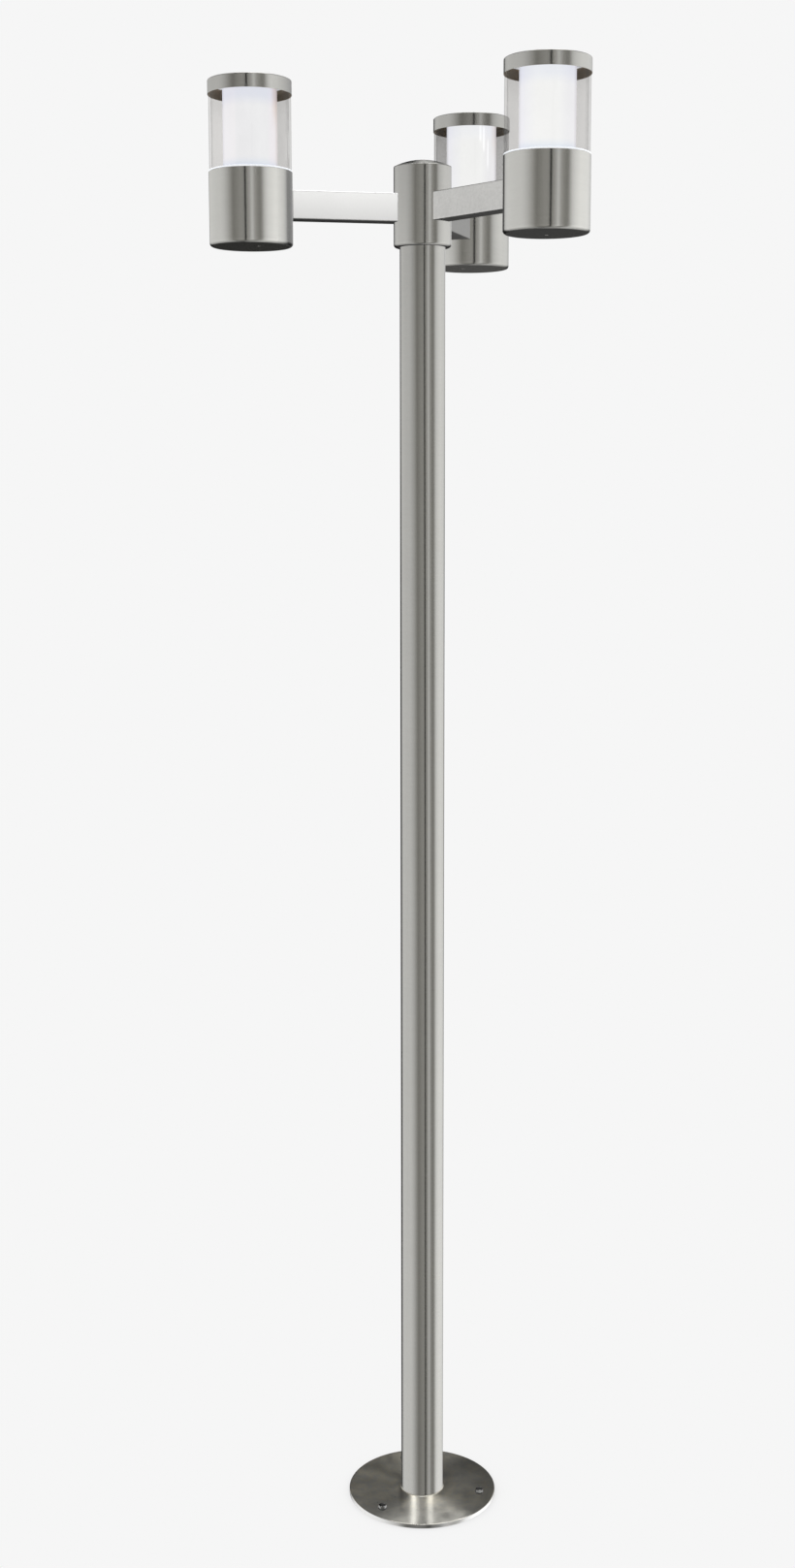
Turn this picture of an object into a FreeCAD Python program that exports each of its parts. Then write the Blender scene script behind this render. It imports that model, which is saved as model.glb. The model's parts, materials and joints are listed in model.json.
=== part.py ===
import FreeCAD, Part
import math
import os

# Three-headed garden mast light: a round ground plate carries a tubular pole,
# a turned hub sits on the pole top, and three rectangular arms, 120 degrees
# apart, each hold one cylindrical lantern.  Millimetres, +Z up, origin on the
# pole axis at the underside of the ground plate.
# Name endings: _R radius, _T thickness, _H height, _W width, _L length,
# _Z level above the origin, _PCR pitch circle radius, _AZ azimuth in degrees.

os.makedirs("parts", exist_ok=True)
Vector = FreeCAD.Vector
X_AXIS = Vector(1, 0, 0)
Y_AXIS = Vector(0, 1, 0)
Z_AXIS = Vector(0, 0, 1)
ORIGIN = Vector(0, 0, 0)
COS45 = math.cos(math.radians(45))

# ------------------------------------------------------------------ main dimensions
PLATE_R = 106.0
PLATE_T = 6.0
FIT_GAP = 0.02           # gap at welded curved seats

POLE_R = 30.15
POLE_WALL = 2.0
POLE_TOP_Z = 1786.4

CABLE_R = 4.5            # jacketed tail below the plate
CABLE_SHEATH_R = 4.0     # inner sheath above it
CABLE_TOP_Z = 1800.0
CABLE_TAIL_L = 40.0

HUB_R = 38.05
HUB_BOTTOM_Z = 1762.0
HUB_RIM_Z = 1864.0
HUB_CHAMBER_R = HUB_R - 3.0
HUB_STOP_Z = POLE_TOP_Z + 0.1          # underside of the shoulder over the pole end
HUB_WEB_T = 6.0                        # thickness of the shoulder
SHOULDER_Z = HUB_STOP_Z + HUB_WEB_T    # top of the shoulder

ARM_AZ = {"left": 180.0, "right": 300.0, "rear": 60.0}
ARM_H = 36.0
ARM_W = 28.0
ARM_WALL = 2.0
ARM_BOTTOM_Z = 1793.0
ARM_MID_Z = ARM_BOTTOM_Z + ARM_H / 2.0
ARM_L = 227.0            # pole axis to lantern axis
ARM_CABLE_R = 3.25
WALL_HOLE_R = 5.0        # cable hole in the hub wall and the cup wall

HEAD_R = 54.0            # outside of cup and cap
HEAD_NEAR_X = ARM_L - HEAD_R
LANTERN_AXIS = (ARM_L, 0.0)


# ------------------------------------------------------------------ helpers
def outward(solid):
    """The solid with its faces pointing outward."""
    return solid.reversed() if solid.Volume < 0 else solid


def revolve_edges(edges, centre=(0.0, 0.0)):
    """Turn a closed outline in the XZ plane about Z, then move it to centre."""
    solid = Part.Face(Part.Wire(edges)).revolve(ORIGIN, Z_AXIS, 360)
    solid.translate(Vector(centre[0], centre[1], 0))
    return outward(solid.Solids[0])


def revolve(points, centre=(0.0, 0.0)):
    """Solid of revolution about a vertical axis through centre; points are
    (radius, z) pairs, or ('arc', via, end) for a circular arc."""
    edges = []
    here = Vector(points[0][0], 0, points[0][1])
    for point in points[1:] + points[:1]:
        if point[0] == "arc":
            via, end = [Vector(radius, 0, z) for radius, z in point[1:]]
            edges.append(Part.Arc(here, via, end).toShape())
        else:
            end = Vector(point[0], 0, point[1])
            edges.append(Part.makeLine(here, end))
        here = end
    return revolve_edges(edges, centre)


def rounding(corner, radius, rise, end):
    """Profile arc that rounds a corner whose material lies toward the axis;
    rise is +1 for a lower corner and -1 for an upper one."""
    inset = radius * (1 - COS45)
    return ("arc", (corner[0] - inset, corner[1] + rise * inset), end)


def cylinder(radius, bottom, top, centre=(0.0, 0.0)):
    return Part.makeCylinder(radius, top - bottom, Vector(centre[0], centre[1], bottom), Z_AXIS)


def through(radius, bottom, top, centre=(0.0, 0.0)):
    """Cutter that overshoots both faces by 1 mm."""
    return cylinder(radius, bottom - 1, top + 1, centre)


def tube(outer, inner, bottom, top, centre=(0.0, 0.0)):
    return cylinder(outer, bottom, top, centre).cut(through(inner, bottom, top, centre))


def x_cylinder(radius, start, length, y=0.0, z=ARM_MID_Z):
    """Cylinder along +X from x = start."""
    return Part.makeCylinder(radius, length, Vector(start, y, z), X_AXIS)


def turn(shape, azimuth):
    """Copy of the shape turned about the pole axis."""
    turned = shape.copy()
    turned.rotate(ORIGIN, Z_AXIS, azimuth)
    return turned


def on_circle(radius, azimuth, centre_x=0.0):
    angle = math.radians(azimuth)
    return (centre_x + radius * math.cos(angle), radius * math.sin(angle))


def radial_cylinder(radius, azimuth, start, end, z):
    """Cylinder whose axis runs outward from the pole axis."""
    x, y = on_circle(1.0, azimuth)
    return Part.makeCylinder(radius, end - start, Vector(x * start, y * start, z), Vector(x, y, 0))


def hexagon_prism(across_flats, bottom, top, centre=(0.0, 0.0), azimuth=0.0):
    corner_r = across_flats / math.sqrt(3.0)
    corners = []
    for i in range(7):
        x, y = on_circle(corner_r, azimuth + 60 * i)
        corners.append(Vector(centre[0] + x, centre[1] + y, bottom))
    return Part.Face(Part.makePolygon(corners)).extrude(Vector(0, 0, top - bottom))


def save(name, *shapes):
    """Write the solids of the shapes to one STEP file."""
    solids = [outward(solid) for shape in shapes for solid in shape.Solids]
    result = solids[0] if len(solids) == 1 else Part.makeCompound(solids)
    result.exportStep("parts/%s.step" % name)


# ------------------------------------------------------------------ ground plate
PLATE_EDGE_R = 0.8       # rounding of the top rim
CABLE_HOLE_R = 16.0      # centre hole for the grommet
BOLT_PCR = 85.0
BOLT_COUNT = 3
BOLT_AZ = 96.0           # first ground screw
BOLT_HOLE_R = 3.3
bolt_places = [on_circle(BOLT_PCR, BOLT_AZ + 360.0 / BOLT_COUNT * i) for i in range(BOLT_COUNT)]

plate = revolve([
    (CABLE_HOLE_R, 0), (PLATE_R - 0.3, 0), (PLATE_R, 0.3), (PLATE_R, PLATE_T - PLATE_EDGE_R),
    rounding((PLATE_R, PLATE_T), PLATE_EDGE_R, -1, (PLATE_R - PLATE_EDGE_R, PLATE_T)),
    (CABLE_HOLE_R, PLATE_T)])
for place in bolt_places:
    plate = plate.cut(through(BOLT_HOLE_R, 0, PLATE_T, place))
save("base_plate", plate)

# ------------------------------------------------------------------ ground screws
SCREW_R = 3.0            # M6 shank
SCREW_NECK_R = 2.675     # reduced shank inside the plate
SCREW_FLATS = 10.0       # hexagon across flats
SCREW_HEAD_H = 4.0
SCREW_BELOW = 40.0       # shank standing out below the plate
WASHER_R = 6.0
WASHER_T = 1.6
SCREW_HEAD_Z = PLATE_T + WASHER_T


def ground_screw(place, azimuth):
    """Hexagon head with a chamfered top, and a shank with a reduced neck."""
    top = SCREW_HEAD_Z + SCREW_HEAD_H
    clear_r = SCREW_FLATS / math.sqrt(3.0) + 0.2     # just outside the hexagon corners
    head = hexagon_prism(SCREW_FLATS, SCREW_HEAD_Z, top, place, azimuth)
    head = head.common(revolve([
        (0, SCREW_HEAD_Z), (clear_r, SCREW_HEAD_Z), (clear_r, top - 0.55),
        (SCREW_FLATS / 2 - 0.25, top), (0, top)], place))
    shank = revolve([
        (0, -SCREW_BELOW), (SCREW_R - 0.6, -SCREW_BELOW), (SCREW_R, -SCREW_BELOW + 0.6),
        (SCREW_R, -0.5), (SCREW_NECK_R, -0.5), (SCREW_NECK_R, SCREW_HEAD_Z),
        (0, SCREW_HEAD_Z)], place)
    return head.fuse(shank).removeSplitter()


# each head is turned differently, as tightened by hand
save("ground_screws", *[ground_screw(place, 20.0 + 31.0 * i)
                        for i, place in enumerate(bolt_places)])
save("ground_washers", *[tube(WASHER_R, SCREW_R + 0.2, PLATE_T, SCREW_HEAD_Z, place)
                         for place in bolt_places])

# ------------------------------------------------------------------ grommet and supply cable
GROMMET_BORE_R = CABLE_SHEATH_R + 0.4
GROMMET_FLANGE_R = 20.0
save("cable_grommet", revolve([
    (GROMMET_BORE_R, 0.5), (CABLE_HOLE_R - 0.1, 0.5), (CABLE_HOLE_R - 0.1, PLATE_T),
    (GROMMET_FLANGE_R, PLATE_T), (GROMMET_FLANGE_R, PLATE_T + 2.0), (12.0, PLATE_T + 5.0),
    (GROMMET_BORE_R, PLATE_T + 5.0)]))

# jacketed tail below the plate, inner sheath up through the grommet into the hub
save("supply_cable", revolve([
    (0, -CABLE_TAIL_L), (CABLE_R, -CABLE_TAIL_L), (CABLE_R, 0), (CABLE_SHEATH_R, 0),
    (CABLE_SHEATH_R, CABLE_TOP_Z - 1), (CABLE_SHEATH_R - 1, CABLE_TOP_Z), (0, CABLE_TOP_Z)]))

# ------------------------------------------------------------------ pole and its foot weld
WELD_LEG = 2.6
save("pole", tube(POLE_R, POLE_R - POLE_WALL, PLATE_T, POLE_TOP_Z))
save("pole_weld", revolve([
    (POLE_R + FIT_GAP, PLATE_T), (POLE_R + WELD_LEG, PLATE_T), (POLE_R + WELD_LEG, PLATE_T + 0.3),
    ("arc", (POLE_R + WELD_LEG * 0.42, PLATE_T + WELD_LEG * 0.42),
     (POLE_R + 0.3, PLATE_T + WELD_LEG)),
    (POLE_R + FIT_GAP, PLATE_T + WELD_LEG)]))

# ------------------------------------------------------------------ hub body
HUB_EDGE_R = 4.0         # rounding of the lower outer edge
HUB_BORE_R = POLE_R + 0.06
HUB_WEB_R = 26.0         # cable opening in the shoulder
SET_SCREW_R = 3.0
SET_SCREW_L = 7.0
SET_SCREW_Z = HUB_BOTTOM_Z + 12.0
SET_SCREW_AZ = (40.0, 130.0)
BRACKET_SCREW_R = 2.0
bracket_screw_places = [on_circle(30.6, azimuth) for azimuth in (0.0, 180.0)]

hub = revolve([
    (HUB_BORE_R, HUB_BOTTOM_Z), (HUB_R - HUB_EDGE_R, HUB_BOTTOM_Z),
    rounding((HUB_R, HUB_BOTTOM_Z), HUB_EDGE_R, 1, (HUB_R, HUB_BOTTOM_Z + HUB_EDGE_R)),
    (HUB_R, HUB_RIM_Z - 0.6), (HUB_R - 0.6, HUB_RIM_Z), (HUB_CHAMBER_R, HUB_RIM_Z),
    (HUB_CHAMBER_R, SHOULDER_Z), (HUB_WEB_R, SHOULDER_Z),
    (HUB_WEB_R, HUB_STOP_Z), (HUB_BORE_R, HUB_STOP_Z)])
for azimuth in ARM_AZ.values():
    hub = hub.cut(radial_cylinder(WALL_HOLE_R, azimuth, 33.0, 42.0, ARM_MID_Z))
for azimuth in SET_SCREW_AZ:
    hub = hub.cut(radial_cylinder(SET_SCREW_R + 0.05, azimuth, 28.0, 42.0, SET_SCREW_Z))
for place in bracket_screw_places:
    hub = hub.cut(cylinder(BRACKET_SCREW_R + 0.05, HUB_STOP_Z + 1.2, SHOULDER_Z + 1, place))
save("hub_body", hub)

# socket set screws that clamp the hub on the pole, chamfered tip toward the pole
set_screw = revolve([(0, 0), (2.2, 0), (SET_SCREW_R, 0.8), (SET_SCREW_R, SET_SCREW_L),
                     (0, SET_SCREW_L)])
set_screw = set_screw.cut(hexagon_prism(3.0, 4.0, SET_SCREW_L + 1))
set_screw.rotate(ORIGIN, Y_AXIS, 90)
set_screw.translate(Vector(POLE_R + 0.05, 0, SET_SCREW_Z))
save("hub_set_screws", *[turn(set_screw, azimuth) for azimuth in SET_SCREW_AZ])

# ------------------------------------------------------------------ terminal bracket and block
BRACKET_R = 34.6
BRACKET_T = 1.5
BRACKET_TOP_Z = SHOULDER_Z + BRACKET_T
TAB_X = 12.0             # face of the upright tab nearest the block
TAB_W = 26.0
TAB_H = 50.0
BLOCK_L, BLOCK_W, BLOCK_H = 14.0, 30.0, 20.0
BLOCK_X = TAB_X - 0.05 - BLOCK_L
BLOCK_Z = SHOULDER_Z + 30.0
POLE_PITCH = 9.5         # spacing of the three terminals along Y

# disc on the shoulder with an upright tab
bracket = tube(BRACKET_R, 7.0, SHOULDER_Z, BRACKET_TOP_Z)
tab = Part.makeBox(BRACKET_T, TAB_W, TAB_H, Vector(TAB_X, -TAB_W / 2, SHOULDER_Z + 1.0))
bracket = bracket.fuse(tab).removeSplitter()
for place in bracket_screw_places:
    bracket = bracket.cut(through(BRACKET_SCREW_R + 0.2, SHOULDER_Z, BRACKET_TOP_Z, place))
save("terminal_bracket", bracket)

save("bracket_screws", *[revolve([
    (0, SHOULDER_Z - 4.0), (BRACKET_SCREW_R, SHOULDER_Z - 4.0), (BRACKET_SCREW_R, BRACKET_TOP_Z),
    (3.5, BRACKET_TOP_Z), (3.5, SHOULDER_Z + 3.2), (2.8, SHOULDER_Z + 3.9),
    (0, SHOULDER_Z + 3.9)], place) for place in bracket_screw_places])

# each terminal has two wells in the -X face and one in the underside
block = Part.makeBox(BLOCK_L, BLOCK_W, BLOCK_H, Vector(BLOCK_X, -BLOCK_W / 2, BLOCK_Z))
for i in (-1, 0, 1):
    for rise in (14.5, 5.5):
        block = block.cut(x_cylinder(2.0, BLOCK_X - 0.05, 5.0, i * POLE_PITCH, BLOCK_Z + rise))
    block = block.cut(cylinder(2.2, BLOCK_Z - 0.1, BLOCK_Z + 7.9, (6.0, i * POLE_PITCH)))
save("terminal_block", block)

# ------------------------------------------------------------------ hub cap and seal
DOME_R = HUB_R - 0.15
DOME_H = 8.5
DOME_FOOT_Z = HUB_RIM_Z + 0.4
SKIRT_R = HUB_CHAMBER_R - 0.1
SKIRT_Z = HUB_RIM_Z - 8.0
GROOVE_R = SKIRT_R - 2.1
GROOVE_BOTTOM_Z = HUB_RIM_Z - 6.0
GROOVE_TOP_Z = HUB_RIM_Z - 3.2

# the dome is a spherical cap of the given height over its foot circle
sphere_r = (DOME_R ** 2 + DOME_H ** 2) / (2 * DOME_H)
dome_mid_r = DOME_R * 0.55
dome_mid_z = DOME_FOOT_Z + DOME_H - sphere_r + math.sqrt(sphere_r ** 2 - dome_mid_r ** 2)
save("hub_cap", revolve([
    (0, HUB_RIM_Z - 2.0), (30.0, HUB_RIM_Z - 2.0), (30.0, SKIRT_Z), (SKIRT_R, SKIRT_Z),
    (SKIRT_R, GROOVE_BOTTOM_Z), (GROOVE_R, GROOVE_BOTTOM_Z), (GROOVE_R, GROOVE_TOP_Z),
    (SKIRT_R, GROOVE_TOP_Z), (SKIRT_R, HUB_RIM_Z), (DOME_R, HUB_RIM_Z), (DOME_R, DOME_FOOT_Z),
    ("arc", (dome_mid_r, dome_mid_z), (0, DOME_FOOT_Z + DOME_H))]))
save("hub_cap_seal", Part.makeTorus(
    SKIRT_R - 1.0, 1.02, Vector(0, 0, (GROOVE_BOTTOM_Z + GROOVE_TOP_Z) / 2)))


# ------------------------------------------------------------------ arms
# Arms, cables, bushes and lanterns are modelled on +X, then turned to each azimuth.
def arm_bar(start, length, width, height, corner_r):
    """Bar along +X whose rectangular section has rounded corners."""
    arcs = []
    for i, (side_y, side_z) in enumerate([(1, -1), (1, 1), (-1, 1), (-1, -1)]):
        centre_y = side_y * (width / 2 - corner_r)
        centre_z = ARM_MID_Z + side_z * (height / 2 - corner_r)
        angles = [math.radians(90 * i + step) for step in (-90, -45, 0)]
        arcs.append([Vector(start, centre_y + corner_r * math.cos(angle),
                            centre_z + corner_r * math.sin(angle)) for angle in angles])
    edges = []
    for i, arc in enumerate(arcs):
        edges.append(Part.makeLine(arcs[i - 1][2], arc[0]))
        edges.append(Part.Arc(*arc).toShape())
    return Part.Face(Part.Wire(edges)).extrude(Vector(length, 0, 0))


# hollow section, with its ends cut to fit the round hub and the round cup
arm = arm_bar(20.0, ARM_L - 40.0, ARM_W, ARM_H, 1.2)
arm = arm.cut(arm_bar(19.0, ARM_L - 38.0, ARM_W - 2 * ARM_WALL, ARM_H - 2 * ARM_WALL, 0.6))
for seat_r, centre in ((HUB_R, (0.0, 0.0)), (HEAD_R, LANTERN_AXIS)):
    arm = arm.cut(cylinder(seat_r + FIT_GAP, ARM_BOTTOM_Z - 5, ARM_BOTTOM_Z + ARM_H + 5, centre))

# arm cable: starts upright in the hub, bends outward, runs through the arm and
# ends in the side entry of the lamp holder
BEND_X = 27.0            # where the bend meets the straight run
BEND_R = 9.0
CABLE_END_X = ARM_L - 15.5
arm_cable = x_cylinder(ARM_CABLE_R, BEND_X, CABLE_END_X - BEND_X)
section = Part.Face(Part.Wire(Part.makeCircle(ARM_CABLE_R, Vector(BEND_X, 0, ARM_MID_Z), X_AXIS)))
bend = section.revolve(Vector(BEND_X, 0, ARM_MID_Z + BEND_R), Y_AXIS, 90.0)
arm_cable = arm_cable.fuse(bend).removeSplitter()


def cable_bush(sleeve_x, sleeve_l, flange_x):
    """Rubber bush where the cable passes a wall: a sleeve with one flange."""
    sleeve = x_cylinder(WALL_HOLE_R - 0.05, sleeve_x, sleeve_l)
    bush = sleeve.fuse(x_cylinder(6.6, flange_x, 1.4))
    return bush.cut(x_cylinder(ARM_CABLE_R + 0.1, sleeve_x - 5.0, 20.0)).removeSplitter()


hub_bush = cable_bush(34.6, HUB_R + 0.2 - 34.6, HUB_R + 0.1)
head_bush = cable_bush(HEAD_NEAR_X - 0.2, 4.0, HEAD_NEAR_X - 1.5)
save("cable_bushes", *[turn(bush, azimuth) for azimuth in ARM_AZ.values()
                       for bush in (hub_bush, head_bush)])

# ------------------------------------------------------------------ lantern cup and gasket
CUP_BOTTOM_Z = 1758.0
CUP_RIM_Z = 1851.0
CUP_WALL = 2.0
CUP_EDGE_R = 4.0
CUP_BORE_R = HEAD_R - CUP_WALL
CUP_FLOOR_Z = CUP_BOTTOM_Z + 2.5       # upper face of the floor
inner_edge_r = CUP_EDGE_R - CUP_WALL
drain_place = on_circle(12.7, 133.0, ARM_L)

cup = revolve([
    (0, CUP_BOTTOM_Z), (HEAD_R - CUP_EDGE_R, CUP_BOTTOM_Z),
    rounding((HEAD_R, CUP_BOTTOM_Z), CUP_EDGE_R, 1, (HEAD_R, CUP_BOTTOM_Z + CUP_EDGE_R)),
    (HEAD_R, CUP_RIM_Z - 0.3), (HEAD_R - 0.3, CUP_RIM_Z), (CUP_BORE_R, CUP_RIM_Z),
    (CUP_BORE_R, CUP_FLOOR_Z + inner_edge_r),
    rounding((CUP_BORE_R, CUP_FLOOR_Z), inner_edge_r, 1, (CUP_BORE_R - inner_edge_r, CUP_FLOOR_Z)),
    (0, CUP_FLOOR_Z)], LANTERN_AXIS)
cup = cup.cut(x_cylinder(WALL_HOLE_R, HEAD_NEAR_X - 4.0, 12.0))
cup = cup.cut(through(1.8, CUP_BOTTOM_Z, CUP_FLOOR_Z, drain_place))

# L-section gasket on the cup rim
GASKET_TOP_Z = CUP_RIM_Z + 2.0
LIP_R = CUP_BORE_R - 0.1
gasket = revolve([
    (48.5, CUP_RIM_Z), (50.0, CUP_RIM_Z), (50.0, CUP_RIM_Z - 5.0), (LIP_R, CUP_RIM_Z - 5.0),
    (LIP_R, CUP_RIM_Z), (HEAD_R - 0.7, CUP_RIM_Z), (HEAD_R - 0.5, CUP_RIM_Z + 0.3),
    (HEAD_R - 0.5, GASKET_TOP_Z - 0.3), (HEAD_R - 0.7, GASKET_TOP_Z), (48.5, GASKET_TOP_Z)],
    LANTERN_AXIS)

# ------------------------------------------------------------------ carrier plate and ring nut
CARRIER_Z = 1838.0       # underside, on the shoulder of the lamp holder
DECK_Z = CARRIER_Z + 2.0               # top of the carrier plate
HOLDER_NECK_R = 18.0
carrier = tube(CUP_BORE_R - 0.3, HOLDER_NECK_R + 0.3, CARRIER_Z, DECK_Z, LANTERN_AXIS)

# ring nut that clamps the carrier, with grip notches around its rim
NOTCH_COUNT = 12
ring_nut = tube(24.0, HOLDER_NECK_R + 0.05, DECK_Z, DECK_Z + 5.0, LANTERN_AXIS)
for i in range(NOTCH_COUNT):
    notch_place = on_circle(24.4, 360.0 / NOTCH_COUNT * i, ARM_L)
    ring_nut = ring_nut.cut(through(1.6, DECK_Z, DECK_Z + 5.0, notch_place))

# ------------------------------------------------------------------ lamp holder, posts, screws
HOLDER_Z = 1802.0        # underside
HOLDER_R = 20.0
HOLDER_TOP_Z = DECK_Z + 18.0
SOCKET_R = 13.45
SOCKET_FLOOR_Z = DECK_Z - 18.0
SEAT_Z = SOCKET_FLOOR_Z - 2.2          # under the screw heads
post_places = [on_circle(9.0, azimuth, ARM_L) for azimuth in (90.0, 270.0)]

# ceramic holder with a side cable entry facing the pole
holder = revolve([
    (0, HOLDER_Z), (17.0, HOLDER_Z), (HOLDER_R, HOLDER_Z + 3.0), (HOLDER_R, CARRIER_Z),
    (HOLDER_NECK_R, CARRIER_Z), (HOLDER_NECK_R, HOLDER_TOP_Z - 2.0), (17.0, HOLDER_TOP_Z),
    (14.6, HOLDER_TOP_Z), (14.6, DECK_Z + 8.0), (SOCKET_R, DECK_Z + 6.5),
    (SOCKET_R, SOCKET_FLOOR_Z), (0, SOCKET_FLOOR_Z)], LANTERN_AXIS)
holder = holder.cut(x_cylinder(3.6, ARM_L - 22.0, 8.0))
posts = []
holder_screws = []
for place in post_places:
    holder = holder.cut(through(1.65, HOLDER_Z, SOCKET_FLOOR_Z, place))
    holder = holder.cut(cylinder(2.9, SEAT_Z, SOCKET_FLOOR_Z + 0.5, place))
    post = cylinder(3.5, CUP_FLOOR_Z, HOLDER_Z, place)
    posts.append(post.cut(cylinder(1.55, HOLDER_Z - 10, HOLDER_Z + 1, place)))
    holder_screws.append(revolve([
        (0, HOLDER_Z - 8.5), (1.0, HOLDER_Z - 8.5), (1.5, HOLDER_Z - 8.0), (1.5, SEAT_Z),
        (2.7, SEAT_Z), (2.7, SOCKET_FLOOR_Z - 1.0), (2.0, SOCKET_FLOOR_Z - 0.3),
        (0, SOCKET_FLOOR_Z - 0.3)], place))

# ------------------------------------------------------------------ bulb
BASE_Z = DECK_Z - 17.5
GLOBE_Z = BASE_Z + 26.0
GLOBE_R = 27.5
GLOBE_NECK_R = 12.8
GLOBE_MID_Z = GLOBE_Z + 53.0           # centre of the round top

bulb_base = revolve([
    (0, BASE_Z), (4.5, BASE_Z), (5.5, BASE_Z + 1.6), (10.5, BASE_Z + 4.5),
    (13.2, BASE_Z + 6.5), (13.2, GLOBE_Z), (0, GLOBE_Z)], LANTERN_AXIS)

# flank of the globe: radius, height above the neck, tangent x, tangent imposed
FLANK = [
    (GLOBE_NECK_R, 0.0, 0.02, True),
    (13.6, 10.0, 0.25, False),
    (19.0, 25.0, 0.45, False),
    (25.4, 40.0, 0.3, False),
    (GLOBE_R, GLOBE_MID_Z - GLOBE_Z, 0, True),
]
flank = Part.BSplineCurve()
flank.interpolate(Points=[Vector(row[0], 0, GLOBE_Z + row[1]) for row in FLANK],
                  Tangents=[Vector(row[2], 0, 1) for row in FLANK],
                  TangentFlags=[row[3] for row in FLANK])
neck_centre = Vector(0, 0, GLOBE_Z)
crown = Vector(0, 0, GLOBE_MID_Z + GLOBE_R)
crown_via = Vector(GLOBE_R * COS45, 0, GLOBE_MID_Z + GLOBE_R * COS45)
globe = revolve_edges([
    Part.makeLine(neck_centre, Vector(GLOBE_NECK_R, 0, GLOBE_Z)), flank.toShape(),
    Part.Arc(Vector(GLOBE_R, 0, GLOBE_MID_Z), crown_via, crown).toShape(),
    Part.makeLine(crown, neck_centre)], LANTERN_AXIS)

# ------------------------------------------------------------------ cylinders, seal and cap
DIFFUSER_R = 35.0
CAP_BOTTOM_Z = 1946.5
CAP_TOP_Z = 1964.0
CAP_UNDER_Z = CAP_TOP_Z - 2.0          # underside of the flat top
CAP_BORE_R = HEAD_R - 0.9
CAP_EDGE_R = 0.8
GLASS_R = 53.0
GLASS_BORE_R = GLASS_R - 3.0
GLASS_TOP_Z = CAP_UNDER_Z - 2.0

# satin inner cylinder, standing on the carrier plate
diffuser = tube(DIFFUSER_R, DIFFUSER_R - 2.0, DECK_Z, 1957.0, LANTERN_AXIS)

# clear outer cylinder, standing on the gasket
glass = revolve([
    (GLASS_BORE_R, GASKET_TOP_Z), (GLASS_R - 0.3, GASKET_TOP_Z), (GLASS_R, GASKET_TOP_Z + 0.3),
    (GLASS_R, GLASS_TOP_Z - 0.3), (GLASS_R - 0.3, GLASS_TOP_Z), (GLASS_BORE_R, GLASS_TOP_Z)],
    LANTERN_AXIS)
cap_seal = revolve([
    (GLASS_BORE_R, GLASS_TOP_Z), (GLASS_R - 0.1, GLASS_TOP_Z), (GLASS_R - 0.1, CAP_UNDER_Z),
    (GLASS_BORE_R, CAP_UNDER_Z)], LANTERN_AXIS)

# lid-shaped cap: flat top, thin skirt over the clear cylinder
cap = revolve([
    (0, CAP_UNDER_Z), (CAP_BORE_R, CAP_UNDER_Z), (CAP_BORE_R, CAP_BOTTOM_Z),
    (HEAD_R, CAP_BOTTOM_Z), (HEAD_R, CAP_TOP_Z - CAP_EDGE_R),
    rounding((HEAD_R, CAP_TOP_Z), CAP_EDGE_R, -1, (HEAD_R - CAP_EDGE_R, CAP_TOP_Z)),
    (0, CAP_TOP_Z)], LANTERN_AXIS)

# ------------------------------------------------------------------ one set per arm
PIECES = {
    "arm": arm, "arm_cable": arm_cable, "lantern_cup": cup, "cup_gasket": gasket,
    "carrier_plate": carrier, "ring_nut": ring_nut, "lamp_holder": holder,
    "bulb_base": bulb_base, "bulb_globe": globe, "satin_diffuser": diffuser,
    "clear_cylinder": glass, "cap_seal": cap_seal, "lantern_cap": cap,
}
for side, azimuth in ARM_AZ.items():
    for piece, shape in PIECES.items():
        save(piece + "_" + side, turn(shape, azimuth))
for name, shapes in (("holder_posts", posts), ("holder_screws", holder_screws)):
    save(name, *[turn(shape, azimuth) for azimuth in ARM_AZ.values() for shape in shapes])
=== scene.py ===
# A three-headed lantern post in brushed steel, standing upright on the origin.
# The pole runs up +Z from a round base plate at z = 0 to a hub near 1.8 m. Three arms leave the hub,
# each with a lantern: left (-X), right (+X and towards the viewer), rear (+X and away).
# The camera stands on the -Y side and looks along +Y. Profiles are in millimetres, all else in metres.
import bpy
import bmesh
import json
import math
from mathutils import Vector, Matrix

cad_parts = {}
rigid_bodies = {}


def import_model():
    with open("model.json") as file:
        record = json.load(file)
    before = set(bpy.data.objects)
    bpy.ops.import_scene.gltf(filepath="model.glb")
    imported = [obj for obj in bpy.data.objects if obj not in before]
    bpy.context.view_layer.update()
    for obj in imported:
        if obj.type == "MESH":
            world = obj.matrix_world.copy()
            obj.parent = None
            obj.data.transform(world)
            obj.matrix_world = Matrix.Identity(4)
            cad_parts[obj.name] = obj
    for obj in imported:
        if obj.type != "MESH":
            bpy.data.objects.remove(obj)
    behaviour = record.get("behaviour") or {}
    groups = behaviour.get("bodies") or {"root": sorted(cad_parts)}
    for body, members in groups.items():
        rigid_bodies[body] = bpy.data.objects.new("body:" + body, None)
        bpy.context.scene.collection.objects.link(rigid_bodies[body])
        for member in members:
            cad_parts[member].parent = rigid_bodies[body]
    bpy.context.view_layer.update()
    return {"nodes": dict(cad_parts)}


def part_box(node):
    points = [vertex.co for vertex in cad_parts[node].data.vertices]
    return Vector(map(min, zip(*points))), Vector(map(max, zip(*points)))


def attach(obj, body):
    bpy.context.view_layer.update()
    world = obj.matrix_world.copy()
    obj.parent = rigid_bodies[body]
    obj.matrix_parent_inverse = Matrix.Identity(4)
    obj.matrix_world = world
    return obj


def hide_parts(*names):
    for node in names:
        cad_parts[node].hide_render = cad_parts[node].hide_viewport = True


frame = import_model()
MM = 0.001
TAU = 2 * math.pi

# bearing of each head around the pole, degrees from +X
HEAD_BEARING = {"left": 180.0, "right": 300.0, "rear": 60.0}
HEADS = tuple(HEAD_BEARING)


# ------------------------------------------------------------------ places and directions
def centre_xy(node):
    low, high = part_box(node)
    return ((low.x + high.x) / 2, (low.y + high.y) / 2)


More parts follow.
